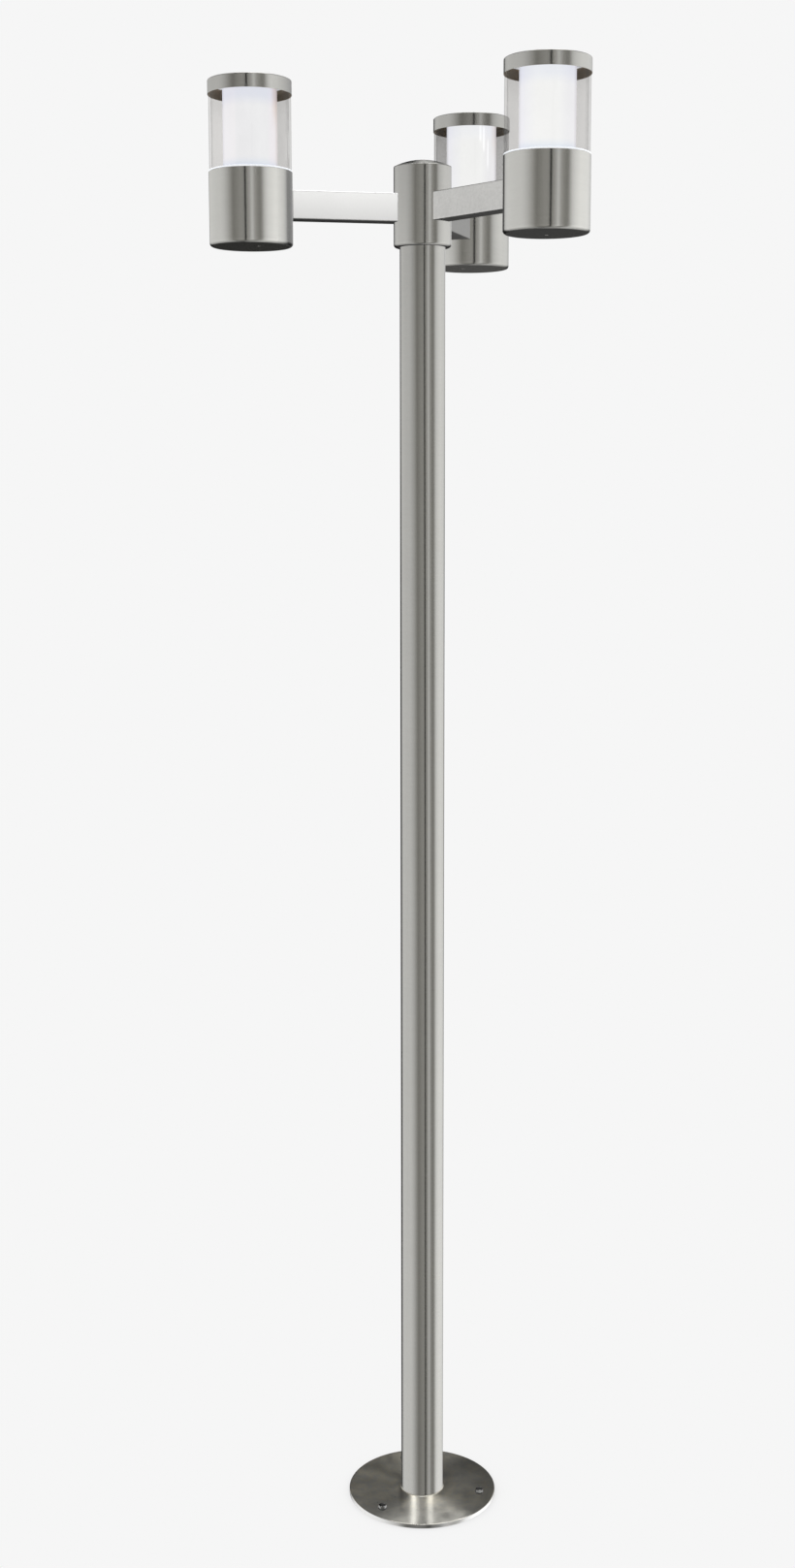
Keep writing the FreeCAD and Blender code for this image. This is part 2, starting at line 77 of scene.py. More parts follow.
def span_mm(node, axis):
    """Lower and upper limit of a CAD box along axis 0, 1 or 2, in mm."""
    low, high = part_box(node)
    return low[axis] / MM, high[axis] / MM


def heading(degrees):
    """Level unit vector at a bearing from +X."""
    angle = math.radians(degrees)
    return Vector((math.cos(angle), math.sin(angle), 0))


HEAD_CENTRE = {head: centre_xy("lantern_cup_" + head) for head in HEADS}

# camera place and angles; the materials use its directions too
CAM_PLACE = Vector((-0.54840, -2.53087, 1.45148))
YAW, PITCH, ROLL = math.radians(11.468), math.radians(8.913), math.radians(-0.095)
SENSOR_WIDTH = 36.0
LENS = 43.64193
forward = Vector((math.sin(YAW) * math.cos(PITCH), math.cos(YAW) * math.cos(PITCH),
                  -math.sin(PITCH)))
right = Vector((math.cos(YAW), -math.sin(YAW), 0.0))
up = right.cross(forward)
away_level = Vector((forward.x, forward.y)).normalized()


def display_to_linear(level):
    """Display level 0..255 to scene-linear."""
    c = level / 255.0
    return c / 12.92 if c <= 0.04045 else ((c + 0.055) / 1.055) ** 2.4


BACKGROUND = display_to_linear(246)


# ------------------------------------------------------------------ node helpers
class Value:
    """An output socket. Arithmetic on it adds Math nodes, operands in the written order."""

    def __init__(self, net, socket):
        self.net = net
        self.socket = socket

    def __add__(self, other):
        return self.net.math("ADD", self, other)

    def __radd__(self, other):
        return self.net.math("ADD", other, self)

    def __sub__(self, other):
        return self.net.math("SUBTRACT", self, other)

    def __rsub__(self, other):
        return self.net.math("SUBTRACT", other, self)

    def __mul__(self, other):
        return self.net.math("MULTIPLY", self, other)

    def __rmul__(self, other):
        return self.net.math("MULTIPLY", other, self)

    def __truediv__(self, other):
        return self.net.math("DIVIDE", self, other)

    def __abs__(self):
        return self.net.math("ABSOLUTE", self)

    def remap(self, source, target, smooth=False):
        """Clamped map of the range source onto the range target."""
        kind = "SMOOTHSTEP" if smooth else "LINEAR"
        return self.net.node("MapRange", {
            "Value": self, "From Min": source[0], "From Max": source[1],
            "To Min": target[0], "To Max": target[1]}, interpolation_type=kind, clamp=True)

    def ease(self, source, target):
        return self.remap(source, target, smooth=True)

    def fade_in(self, start, end):
        return self.ease((start, end), (0.0, 1.0))

    def fade_out(self, start, end):
        return self.ease((start, end), (1.0, 0.0))

    def spread(self, low, high):
        """Noise, which mostly lies in 0.3..0.7, stretched over low..high."""
        return self.remap((0.3, 0.7), (low, high))

    def ramp(self, points, low=-1.0, high=1.0, peak=1.0):
        """Colour ramp of a 0..1 value. Points are (place in low..high, grey or RGB);
        the greys are stored divided by peak, so that they stay below 1."""
        made = self.net.node("ValToRGB", {"Fac": self}, out="Color")
        elements = made.socket.node.color_ramp.elements
        while len(elements) > 1:
            elements.remove(elements[-1])
        for i, (place_, shade) in enumerate(points):
            position = (place_ - low) / (high - low)
            if i:
                element = elements.new(position)
            else:
                element = elements[0]
                element.position = position
            rgb = shade if isinstance(shade, tuple) else (shade,) * 3
            element.color = (*(c / peak for c in rgb), 1)
        return made

    def curve(self, points, low=-1.0, high=1.0, peak=1.0):
        """Ramp of a value that runs over low..high."""
        return self.remap((low, high), (0.0, 1.0)).ramp(points, low, high, peak)


class Net:
    """A shader node tree being built from empty."""

    def __init__(self, tree):
        self.tree = tree
        tree.nodes.clear()

    def node(self, kind, inputs=None, out=0, **settings):
        """Adds a node, fills its inputs and gives the output called out."""
        made = self.tree.nodes.new("ShaderNode" + kind)
        for key, setting in settings.items():
            setattr(made, key, setting)
        for key, content in (inputs or {}).items():
            socket = made.inputs[key]
            if isinstance(content, Value):
                self.tree.links.new(content.socket, socket)
            elif socket.type == "RGBA" and len(content) == 3:
                socket.default_value = (*content, 1)
            else:
                socket.default_value = content
        return Value(self, made.outputs[out])

    def surface(self, shader, kind="OutputMaterial"):
        output = self.tree.nodes.new("ShaderNode" + kind)
        self.tree.links.new(shader.socket, output.inputs["Surface"])

    def math(self, operation, *operands):
        return self.node("Math", dict(enumerate(operands)), operation=operation)

    def vector(self, operation, *operands, out=0):
        return self.node("VectorMath", dict(enumerate(operands)), out, operation=operation)

    def dot(self, a, b):
        return self.vector("DOT_PRODUCT", a, b, out="Value")

    def split(self, vector):
        first = self.node("SeparateXYZ", {"Vector": vector})
        return [Value(self, socket) for socket in first.socket.node.outputs]

    def combine(self, x, y, z):
        return self.node("CombineXYZ", {"X": x, "Y": y, "Z": z})

    def scaled(self, colour, factor):
        """Colour times one grey factor."""
        return self.vector("MULTIPLY", colour, self.combine(factor, factor, factor))

    def length(self, x, y):
        return self.math("SQRT", x * x + y * y)

    def mix(self, factor, a, b):
        return self.node("Mix", {0: factor, 6: a, 7: b}, out=2, data_type="RGBA")

    def mix_shader(self, factor, a, b):
        return self.node("MixShader", {"Fac": factor, 1: a, 2: b})

    def noise(self, vector, scale, detail, rough, distortion=0.0):
        return self.node("TexNoise", {
            "Vector": vector, "Scale": scale, "Detail": detail, "Roughness": rough,
            "Distortion": distortion}, out="Fac")

    def position(self):
        return self.node("TexCoord", out="Object")

    def geometry(self, out):
        return self.node("NewGeometry", out=out)

    def light_path(self, out):
        return self.node("LightPath", out=out)

    def bump(self, height, strength, distance, normal=None):
        inputs = {"Height": height, "Strength": strength, "Distance": distance}
        if normal:
            inputs["Normal"] = normal
        return self.node("Bump", inputs)

    def metal(self, colour, roughness, normal, anisotropy=None):
        """Metal; with anisotropy it is brushed around the vertical axis."""
        inputs = {"Base Color": colour, "Metallic": 1.0, "Roughness": roughness, "Normal": normal}
        if anisotropy:
            tangent = self.node("Tangent", direction_type="RADIAL", axis="Z")
            inputs |= {"Anisotropic": anisotropy, "Anisotropic Rotation": 0.25, "Tangent": tangent}
        return self.node("BsdfPrincipled", inputs)


def new_material(name):
    material = bpy.data.materials.new(name)
    material.use_nodes = True
    return material, Net(material.node_tree)


def side_of(net, position, centre):
    """Side value: -1 at the left edge of an upright tube as it is seen, +1 at the right edge.
    Also gives the place relative to the tube's axis."""
    local = net.vector("SUBTRACT", position, (centre[0], centre[1], 0.0))
    level = net.vector("MULTIPLY", local, (1.0, 1.0, 0.0))
    outward = net.vector("NORMALIZE", net.node(
        "VectorTransform", {"Vector": level},
        vector_type="VECTOR", convert_from="OBJECT", convert_to="WORLD"))
    incoming = net.geometry("Incoming")
    seen_right = net.vector("NORMALIZE", net.vector("CROSS_PRODUCT", (0.0, 0.0, 1.0), incoming))
    return net.dot(outward, seen_right), local


def along(x, y, direction):
    """How far the level place x, y lies along a direction."""
    return x * direction.x + y * direction.y


# ------------------------------------------------------------------ steel
def paint_underside_shade(net, shader, mottle, level, glow):
    """Flat undersides become a matt, dull sheet of painted shade; level is its painted brightness,
    glow a little painted light.
    """
    facing = net.split(net.geometry("True Normal"))[2]
    down = (facing * -1.0).fade_in(0.93, 0.985)
    # painted shade: a dull colour of brightness level on faces that look down
    colour = net.scaled((1.0, 0.985, 0.92), mottle.spread(0.9, 1.12) * level)
    painted_shade_sheet = net.node("BsdfPrincipled", {
        "Base Color": colour, "Metallic": 1.0, "Roughness": 0.24,
        "Emission Color": colour, "Emission Strength": glow})
    return net.mix_shader(down, shader, painted_shade_sheet)


def brown_inside_ring(net, shader, mottle, radius, z, limits):
    """Dull brown colour inside the ring, below limits = (radius, height)."""
    edge = 0.0003
    inside, below = [value.remap((limit, limit + edge), (1.0, 0.0))
                     for value, limit in zip((radius, z), limits)]
    brown_shader = net.node("BsdfPrincipled", {
        "Base Color": net.scaled((0.47, 0.378, 0.27), mottle.spread(0.92, 1.08)),
        "Metallic": 0.0, "Roughness": 0.5, "Specular IOR Level": 0.2})
    return net.mix_shader(inside * below, shader, brown_shader)


# brightness of the mirrored foot: (degrees around the tube from its near side, brightness)
FOOT_GLOW = [
    (-90, 0.12), (-46, 0.14), (-36, 0.5), (-29, 1.7), (-22, 1.8), (-15, 0.6), (-6, 0.3),
    (6, 0.22), (12, 0.22), (18, 1.15), (27, 1.4), (33, 0.4), (41, 0.08), (90, 0.06)]


def mirrored_foot(net, shader, x, y, z):
    """As the base plate mirrors it: two bright standing streaks low down, nothing higher up."""
    glossy = net.light_path("Is Glossy Ray")
    angle = net.math("ARCTAN2", along(x, y, right), 0.0 - along(x, y, away_level))
    around = angle.remap((-math.pi / 2, math.pi / 2), (0.0, 1.0))
    peak = 2.0
    glow = net.node("Emission", {"Color": around.ramp(FOOT_GLOW, -90, 90, peak), "Strength": peak})
    low = net.mix_shader(z.fade_in(0.3, 0.5), glow, net.node("BsdfTransparent"))
    return net.mix_shader(glossy, shader, low)


def brushed_round(name, centre, *, roughness=0.215, grain=1.0, painted_shade_by_height=None, painted_middle_light=None,
                  painted_side_shade=None, lip=1.0, turn=0.0, turn_by_height=None, turn_by_side=None,
                  underside_painted_shade=0.34, underside_painted_glow=0.0, inner=None, foot_glow=False):
    """Steel tube brushed around its circumference.
    grain         strength of the brush marks
    painted_shade_by_height   (heights, brightness) of painted shade; painted_middle_light the same, as painted light and shade for the middle of the seen face only
    painted_side_shade     (side, brightness) points of painted shade, side as in side_of
    lip           brightness of painted shade on rounded lower edges
    turn          degrees the normal is turned about the vertical; turn_by_height gives
                  three (height, degrees), turn_by_side gives (sides, degrees)
    under         brightness of painted shade on flat undersides, underside_painted_glow their painted light
    inner         (radius, height) below which the dull brown colour starts"""
    material, net = new_material(name)
    position = net.position()
    local = net.vector("SUBTRACT", position, (centre[0], centre[1], 0.0))
    x, y, z = net.split(local)
    angle = net.math("ARCTAN2", y, x)
    radius = net.length(x, y)
    sine, cosine = net.math("SINE", angle), net.math("COSINE", angle)

    def ring_noise(around, per_height, per_radius, detail, rough):
        """Noise drawn out along the circumference."""
        stretched = net.combine(sine * around, z * per_height,
                                cosine * around + radius * per_radius)
        return net.noise(stretched, 1.0, detail, rough)

    fine = ring_noise(around=1.1, per_height=2100.0, per_radius=2100.0, detail=3.0, rough=0.65)
    band = ring_noise(around=1.8, per_height=330.0, per_radius=300.0, detail=4.0, rough=0.6)
    cloud = net.noise(position, scale=14.0, detail=4.0, rough=0.55)
    smear = net.noise(net.vector("MULTIPLY", position, (60.0, 60.0, 9.0)),
                      scale=1.0, detail=3.0, rough=0.5)
    shade = (fine.spread(1 - 0.022 * grain, 1 + 0.022 * grain)
             + band.remap((0.35, 0.65), (-0.012 * grain, 0.012 * grain)))
    shade = shade + cloud.spread(-0.014, 0.014)
    # painted shade by height
    if painted_shade_by_height:
        shade = shade * z.remap(*painted_shade_by_height)
    # painted light and shade on the middle of the seen face, changing with height
    if painted_middle_light:
        heights, (gain_low, gain_high) = painted_middle_light
        middle = abs(side_of(net, position, centre)[0] - 0.1).fade_out(0.35, 0.62)
        extra = z.remap(heights, (gain_low - 1.0, gain_high - 1.0))
        shade = shade * (1.0 + middle * extra)
    # painted shade on rounded edges that face down
    if lip < 1.0:
        facing = net.split(net.geometry("Normal"))[2]
        shade = shade * (facing * -1.0).ease((0.1, 0.7), (1.0, lip))
    # painted shade across the tube as it is seen
    if painted_side_shade:
        side = side_of(net, position, centre)[0]
        shade = shade * (side.curve(painted_side_shade, peak=2.0) * 2.0)
    colour = net.scaled((0.66, 0.655, 0.622), shade)
    rough_map = (fine.spread(roughness - 0.02, roughness + 0.02)
                 + smear.remap((0.35, 0.7), (-0.008, 0.015)))
    fine_bump = net.bump(fine, 0.012 * grain, 0.00001)
    normal = net.bump(band, 0.008 * grain, 0.00002, fine_bump)
    turned = math.radians(turn)
    if turn_by_height:
        (z0, deg0), (z1, deg1), (z2, deg2) = turn_by_height
        turned = (z.remap((z0, z1), (math.radians(deg0), math.radians(deg1)))
                  + z.remap((z1, z2), (0.0, math.radians(deg2 - deg1))))
    elif turn_by_side:
        sides, degrees = turn_by_side
        side = side_of(net, position, centre)[0]
        turned = side.remap(sides, [math.radians(d) for d in degrees])
    normal = net.node("VectorRotate", {"Vector": normal, "Angle": turned, "Center": (0, 0, 0),
                                       "Axis": (0, 0, 1)}, rotation_type="AXIS_ANGLE")
    shader = net.metal(colour, rough_map, normal, anisotropy=1.0)
    mottle = net.noise(position, scale=320.0, detail=4.0, rough=0.6)
    # painted shade and painted glow on flat undersides
    shader = paint_underside_shade(net, shader, mottle, underside_painted_shade, underside_painted_glow)
    if inner:
        shader = brown_inside_ring(net, shader, mottle, radius, z, inner)
    if foot_glow:
        shader = mirrored_foot(net, shader, x, y, z)
    net.surface(shader)
    return material


def satin_flat(name, *, base, roughness, mottle, cell=240.0, painted_height_fade=None, underside_painted_shade=1.0, painted_dark_side=None):
    """Ground flat steel: mottled grain with soft clouds.
    cell is the grain's noise scale, fade (heights, brightness), under the brightness of
    undersides, shaded (bearing in degrees, brightness) of one darker side."""
    material, net = new_material(name)
    position = net.position()
    grain = net.noise(position, cell, detail=5.0, rough=0.7)
    cloud = net.noise(position, scale=26.0, detail=4.0, rough=0.6, distortion=0.3)
    dust = net.noise(position, cell * 6.0, detail=2.0, rough=0.6)
    shade = (grain.spread(1 - 0.07 * mottle, 1 + 0.05 * mottle)
             + cloud.spread(-0.05 * mottle, 0.05 * mottle))
    shade = shade + dust.spread(-0.02, 0.02)
    # painted shade by height
    if painted_height_fade:
        shade = shade * net.split(position)[2].remap(*painted_height_fade)
    if underside_painted_shade < 1.0 or painted_dark_side:
        facing = net.geometry("Normal")
    # painted shade on faces that look down
    if underside_painted_shade < 1.0:
        shade = shade * (net.split(facing)[2] * -1.0).ease((0.3, 0.9), (1.0, underside_painted_shade))
    # painted shade on the side that faces bearing
    if painted_dark_side:
        bearing, level = painted_dark_side
        shade = shade * net.dot(facing, tuple(heading(bearing))).ease((0.4, 0.9), (1.0, level))
    vary = min(1.0, mottle)
    rough_map = (grain.spread(roughness - 0.05 * vary, roughness + 0.05 * vary)
                 + cloud.spread(-0.04 * vary, 0.04 * vary))
    grain_bump = net.bump(grain, 0.12 * mottle, 0.00012)
    normal = net.bump(dust, 0.06, 0.00003, grain_bump)
    net.surface(net.metal(net.scaled(base, shade), rough_map, normal))
    return material


# Base plate brightness from painted light and shade. Across: (metres to the right of the axis,
# brightness).
PLATE_PAINTED_ACROSS = [
    (-0.106, 1.0), (-0.09, 1.12), (0.0, 0.95), (0.02, 0.95), (0.036, 1.06), (0.046, 1.16),
    (0.055, 1.12), (0.063, 0.98), (0.071, 0.88), (0.081, 0.78), (0.09, 0.73), (0.106, 0.72)]
# Painted light and shade by bearing, for either half: (-1 nearest the viewer .. 1 farthest,
# brightness).
PLATE_PAINTED_RIGHT = [(-1, 1.0), (-0.78, 1.0), (-0.5, 1.16), (-0.12, 1.12), (0.05, 0.93), (0.2, 0.83),
               (0.5, 0.86), (0.8, 1.06), (1, 1.1)]
PLATE_PAINTED_LEFT = [(-1, 1.0), (0.2, 1.0), (0.42, 1.22), (0.74, 1.34), (0.9, 1.0), (1, 1.0)]
# Round patches of painted light and shade: metres right and away from the axis, radius, added
# brightness.
PLATE_PAINTED_PATCHES = [(-0.029, -0.093, 0.022, 0.42), (0.031, -0.084, 0.022, -0.42),
                 (0.055, -0.086, 0.022, 0.42)]
PLATE_PEAK = 1.6


def plate_material():
    """Turned plate: circular brush marks, cloudy handling marks, painted light and shade in broad
    areas and patches, darker to one side.
    """
    material, net = new_material("steel_plate")
    position = net.position()
    x, y, _ = net.split(position)
    cloud = net.noise(position, scale=22.0, detail=4.0, rough=0.6, distortion=0.8)
    blotch = net.noise(position, scale=75.0, detail=4.0, rough=0.65, distortion=0.5)
    angle = net.math("ARCTAN2", y, x)
    radius = net.length(x, y)
    around = net.combine(net.math("SINE", angle) * 1.3, net.math("COSINE", angle) * 1.3,
                         radius * 1500.0)
    rings = net.noise(around, scale=1.0, detail=3.0, rough=0.6)
    side = along(x, y, right)
    away = along(x, y, away_level)

    def share(distance):
        """Distance as a share of the radius."""
        return distance / net.math("MAXIMUM", radius, 0.001)

    shade = cloud.spread(0.84, 1.13) + blotch.spread(-0.09, 0.09)
    shade = shade + rings.spread(-0.012, 0.012)
    # painted light and shade across the plate
    shade = shade * (side.curve(PLATE_PAINTED_ACROSS, -0.11, 0.11, PLATE_PEAK) * PLATE_PEAK)
    # painted shade: darker behind the pole
    shade = shade * (1.0 - share(away).fade_in(0.3, 0.8) * 0.5)
    # broad patches of painted light and shade by bearing, left and right apart
    bearing = share(away).remap((-1.0, 1.0), (0.0, 1.0))
    halves = net.node("Mix", {
        "Factor": side.fade_in(0.0, 0.02), "A": bearing.ramp(PLATE_PAINTED_LEFT, peak=PLATE_PEAK),
        "B": bearing.ramp(PLATE_PAINTED_RIGHT, peak=PLATE_PEAK)}, data_type="FLOAT")
    shade = shade * (halves * PLATE_PEAK)
    # round patches of painted light and shade
    for patch_side, patch_away, size, gain in PLATE_PAINTED_PATCHES:
        distance = net.length_between(side, patch_side, away, patch_away) if False else \
            net.length(*shared_pair(side - patch_side, away - patch_away))
        shade = shade * (1.0 + distance.ease((0.0, size), (gain, 0.0)))
    # painted shade: dark corner at the far left
    corner = share(away).ease((0.7, 0.9), (0.0, 0.3)) * side.fade_out(-0.034, -0.024)
    shade = shade * (1.0 - corner)
    # warmer in the lighter patches, except at the near rim
    warmth = away.fade_in(-0.09, -0.03) * blotch.ease((0.36, 0.62), (0.2, 1.8))
    warm = net.combine(shade * (1.0 + warmth * 0.02), shade, shade * (1.0 - warmth * 0.045))
    colour = net.vector("MULTIPLY", (0.65, 0.637, 0.583), warm)
    # turned rim: painted light, brighter to the left and right and darker in between
    facing = net.split(net.geometry("Normal"))[2]
    rim = abs(facing).fade_out(0.35, 0.6) * radius.fade_in(0.098, 0.1)
    painted_rim_shade = abs(share(side)).ease((0.2, 0.36), (0.42, 0.99))
    colour = net.mix(rim, colour, net.combine(painted_rim_shade, painted_rim_shade, painted_rim_shade * 0.985))
    rough_map = cloud.spread(0.28, 0.36) + blotch.spread(-0.02, 0.02)
    normal = net.bump(rings, 0.01, 0.00002, net.bump(blotch, 0.02, 0.0001))
    net.surface(net.metal(colour, rough_map, normal, anisotropy=0.95))
    return material


def shared_pair(a, b):
    return a, b


def fastener_material(name, top=1.0):
    """Smooth zinc-grey metal; top below 1 darkens it with painted shade, upward faces to top and the
    rest to half.
    """
    material, net = new_material(name)
    position = net.position()
    grain = net.noise(position, scale=900.0, detail=4.0, rough=0.6)
    cloud = net.noise(position, scale=160.0, detail=3.0, rough=0.6)
    shade = grain.spread(0.93, 1.05) + cloud.spread(-0.06, 0.06)
    # painted shade by how the faces point
    if top < 1.0:
        facing = net.split(net.geometry("Normal"))[2]
        shade = shade * facing.ease((0.25, 0.8), (0.5, top))
    colour = net.scaled((0.6, 0.6, 0.585), shade)
    normal = net.bump(grain, 0.1, 0.00004)
    net.surface(net.metal(colour, grain.spread(0.12, 0.2), normal))
    return material


# ------------------------------------------------------------------ other materials
def dielectric(name, colour, *, roughness, cell, vary, bump, depth=0.0001, specular=0.5,
               subsurface=0.0, glow=None):
    """Plain non-metal. cell is the grain's noise scale, vary its brightness swing,
    bump and depth its relief, glow (colour, strength) of its own light."""
    material, net = new_material(name)
    position = net.position()
    grain = net.noise(position, cell, detail=4.0, rough=0.6)
    cloud = net.noise(position, cell * 0.12, detail=3.0, rough=0.6)
    shade = grain.spread(1 - vary, 1 + vary * 0.6) + cloud.spread(-vary, vary)
    inputs = {
        "Base Color": net.scaled(colour, shade),
        "Roughness": grain.spread(max(0.02, roughness - 0.06), min(1.0, roughness + 0.06)),
        "Normal": net.bump(grain, bump, depth), "Specular IOR Level": specular}
    if subsurface:
        inputs |= {"Subsurface Weight": subsurface, "Subsurface Scale": 0.002}
    if glow:
        inputs |= {"Emission Color": glow[0], "Emission Strength": glow[1]}
    net.surface(net.node("BsdfPrincipled", inputs))
    return material


def diffuser_material(name, centre, *, painted_shading_stops, level, painted_top_tint, warm=0.0):
    """Inner cylinder that glows with painted light: painted cooler tints at the top and the foot,
    painted shade darker at its outline.
    stops are (0 left .. 1 right, colour) of painted shading, level the painted light, warm the painted
    warm shade of the upper right."""
    material, net = new_material(name)
    position = net.position()
    grain = net.noise(position, scale=260.0, detail=4.0, rough=0.6)
    cloud = net.noise(position, scale=16.0, detail=3.0, rough=0.5)
    camera_ray = net.light_path("Is Camera Ray")
    side, local = side_of(net, position, centre)
    z = net.split(local)[2]
    tint = side.remap((-1.0, 1.0), (0.0, 1.0)).ramp(painted_shading_stops, 0.0, 1.0)

    def tinted(factor, colour):
        return net.mix(factor, tint, net.vector("MULTIPLY", tint, colour))

    # painted cool light at the foot and below the cap
    tint = tinted(z.fade_out(1.853, 1.868), (0.84, 0.90, 0.98))
    tint = tinted(z.fade_in(1.926, 1.944) * cloud.remap((0.35, 0.65), (0.65, 1.0)), painted_top_tint)
    # painted warm shade at the upper right
    if warm:
        upper_right = z.fade_in(1.895, 1.94) * side.fade_in(0.74, 0.92)
        tint = tinted(upper_right * warm, (0.88, 0.81, 0.75))
    # the glow is painted light
    light = level + cloud.spread(-0.012, 0.012)
    light = light + grain.spread(-0.006, 0.006)
    # rays other than the camera's see only a little of the light
    seen = net.math("MAXIMUM", camera_ray, 0.12)
    emission = net.node("Emission", {"Color": tint, "Strength": light * seen})
    body = net.node("BsdfPrincipled", {
        "Base Color": (0.9, 0.9, 0.91), "Roughness": 0.55, "Normal": net.bump(grain, 0.05, 0.00005)})
    net.surface(net.mix_shader(0.93, body, emission))
    return material


def clear_material(name, centre, *, left, right_, streaks=()):
    """Clear cylinder wall with a thin dark outline of painted shade and a gloss coat. left and right_
    are the painted see-through levels beside the diffuser; streaks are painted standing highlights,
    each (side, half width, lower z, upper z, brightness)."""
    material, net = new_material(name)
    position = net.position()
    wipe = net.noise(net.vector("MULTIPLY", position, (30.0, 30.0, 22.0)),
                     scale=1.0, detail=4.0, rough=0.6, distortion=0.4)
    grain = net.noise(position, scale=700.0, detail=3.0, rough=0.6)
    side, local = side_of(net, position, centre)
    z = net.split(local)[2]
    middle = 0.958
    # painted shade: see-through level by side, with a dark outline at the edges
    through = side.curve([
        (-1.0, left * 0.90), (-0.975, left * 0.965), (-0.93, left), (-0.68, left),
        (-0.645, middle), (0.645, middle),
        (0.68, right_), (0.90, right_ * 1.01), (0.945, right_ * 0.955), (0.965, right_ * 0.96),
        (0.98, right_ * 1.0), (1.0, right_ * 0.90)])
    through = through * wipe.spread(1.006, 0.992)
    beside = abs(side).remap((0.64, 0.68), (0.0, 1.0))
    # painted shade beside the diffuser near the top
    through = through * (1.0 - beside * z.ease((1.905, 1.950), (0.0, 0.03)))
    clear = net.node("BsdfTransparent", {
        "Color": net.combine(through, through * 0.9955, through * 0.9905)})
    gloss = net.node("BsdfGlossy", {
        "Color": (0.95, 0.95, 0.95), "Roughness": grain.spread(0.03, 0.07)})
    edge_on = net.node("LayerWeight", {"Blend": 0.5}, out="Facing")
    coat = 0.018 + net.math("POWER", edge_on, 5.0) * 0.22
    coat = coat * z.ease((1.927, 1.934), (1.0, 0.3))
    shader = net.mix_shader(coat, clear, gloss)
    total = None
    # painted highlights
    for place_, half_width, z_low, z_high, strength in streaks:
        core = abs(side - place_).fade_out(0.0, half_width)
        taper = (z_high - z_low) * 0.25
        span = z.fade_in(z_low, z_low + taper) * z.fade_out(z_high - taper, z_high)
        streak = core * span * strength
        total = streak if total is None else total + streak
    if total:
        front_only = 1.0 - net.geometry("Backfacing")
        light = net.node("Emission", {"Color": (1, 1, 1), "Strength": total * front_only})
        shader = net.node("AddShader", {0: shader, 1: light})
    net.surface(shader)
    return material


# ------------------------------------------------------------------ material settings
AXIS = (0, 0)
# pole and hub: painted shade by height, by side, on lower edges and undersides, and painted light and
# shade on the middle of the seen face
pole_mat = brushed_round(
    "steel_pole", AXIS, turn_by_height=((0.1, -4.7), (0.9, -3.0), (1.72, 0.4)),
    painted_middle_light=((0.1, 1.72), (0.82, 1.05)), foot_glow=True,
    painted_shade_by_height=((0.25, 1.70), (0.95, 0.86)),
    painted_side_shade=[(-1.0, 0.9), (-0.8, 0.87), (-0.45, 0.87), (-0.2, 1.0), (0.5, 1.0), (0.7, 0.93),
               (1.0, 0.86)])
hub_mat = brushed_round(
    "steel_hub", AXIS, turn=0.7, painted_shade_by_height=((1.76, 1.86), (0.93, 0.84)), underside_painted_shade=0.25,
    lip=0.62, painted_middle_light=((1.76, 1.86), (1.05, 1.14)),
    painted_side_shade=[(-1.0, 0.9), (-0.45, 0.93), (-0.2, 1.0), (0.45, 0.98), (0.62, 0.9), (1.0, 0.87)])

# per cup: painted shade by side and on undersides, and a little painted glow under the rear cup
CUP_LOOK = {
    "left": dict(
        turn_by_side=((-0.6, 0.6), (7.4, 14.8)), underside_painted_shade=0.68,
        painted_side_shade=[(-1.0, 1.0), (0.62, 1.0), (0.8, 0.75), (0.9, 0.5), (1.0, 0.28)]),
    "right": dict(turn_by_side=((-0.6, 0.6), (0.7, 2.2)), underside_painted_shade=0.38),
    "rear": dict(turn=0.8, underside_painted_shade=0.62, underside_painted_glow=0.012,
                 painted_side_shade=[(-1.0, 1.0), (0.35, 1.0), (0.55, 0.84), (1.0, 0.78)])}
# painted light on the middle of the seen face of the caps
CAP_PAINTED_MIDDLE_LIGHT = ((1.9, 2.0), (1.15, 1.15))
# per cap: painted shade by side
CAP_LOOK = {
    "left": dict(
        turn=7.0, painted_middle_light=CAP_PAINTED_MIDDLE_LIGHT,
        painted_side_shade=[(-1.0, 0.88), (-0.8, 0.97), (-0.6, 1.0), (0.5, 1.02), (0.74, 0.86),
                   (0.86, 0.7), (1.0, 0.58)]),
    "right": dict(turn=2.8, painted_middle_light=CAP_PAINTED_MIDDLE_LIGHT),
    "rear": dict(turn=2.2, painted_side_shade=[(-1.0, 0.94), (0.3, 1.0), (0.6, 0.84), (1.0, 0.76)])}
# cups and caps have painted shade on their lower edges; the caps' height shading is an even 0.86
cup_mats = {head: brushed_round("steel_lantern_" + head, HEAD_CENTRE[head], lip=0.6,
                                **CUP_LOOK[head]) for head in HEADS}
cap_mats = {head: brushed_round("steel_cap_" + head, HEAD_CENTRE[head], roughness=0.22, grain=0.6,
                                painted_shade_by_height=((1.9, 2.0), (0.86, 0.86)), inner=(0.0535, 1.9625),
                                **CAP_LOOK[head]) for head in HEADS}

# painted light and shade on the arms: the left arm is a lighter copy of the arm steel with a painted
# fade to darker lower down, the rear arm has painted shade on its side facing -30 degrees, and all
# three have painted shade underneath
ARM_STEEL = dict(base=(0.70, 0.695, 0.675), roughness=0.38, mottle=1.7)
arm_mats = {
    "right": satin_flat("steel_arm", underside_painted_shade=0.3, **ARM_STEEL),
    "rear": satin_flat("steel_arm_rear", underside_painted_shade=0.5, painted_dark_side=(-30.0, 0.42), **ARM_STEEL),
    "left": satin_flat("steel_arm_left_painted_light", base=(0.86, 0.86, 0.855), roughness=0.36, mottle=0.12,
                       painted_height_fade=((1.793, 1.827), (0.80, 1.0)), underside_painted_shade=0.22)}

plate_mat = plate_material()
fastener_mat = fastener_material("steel_fastener")
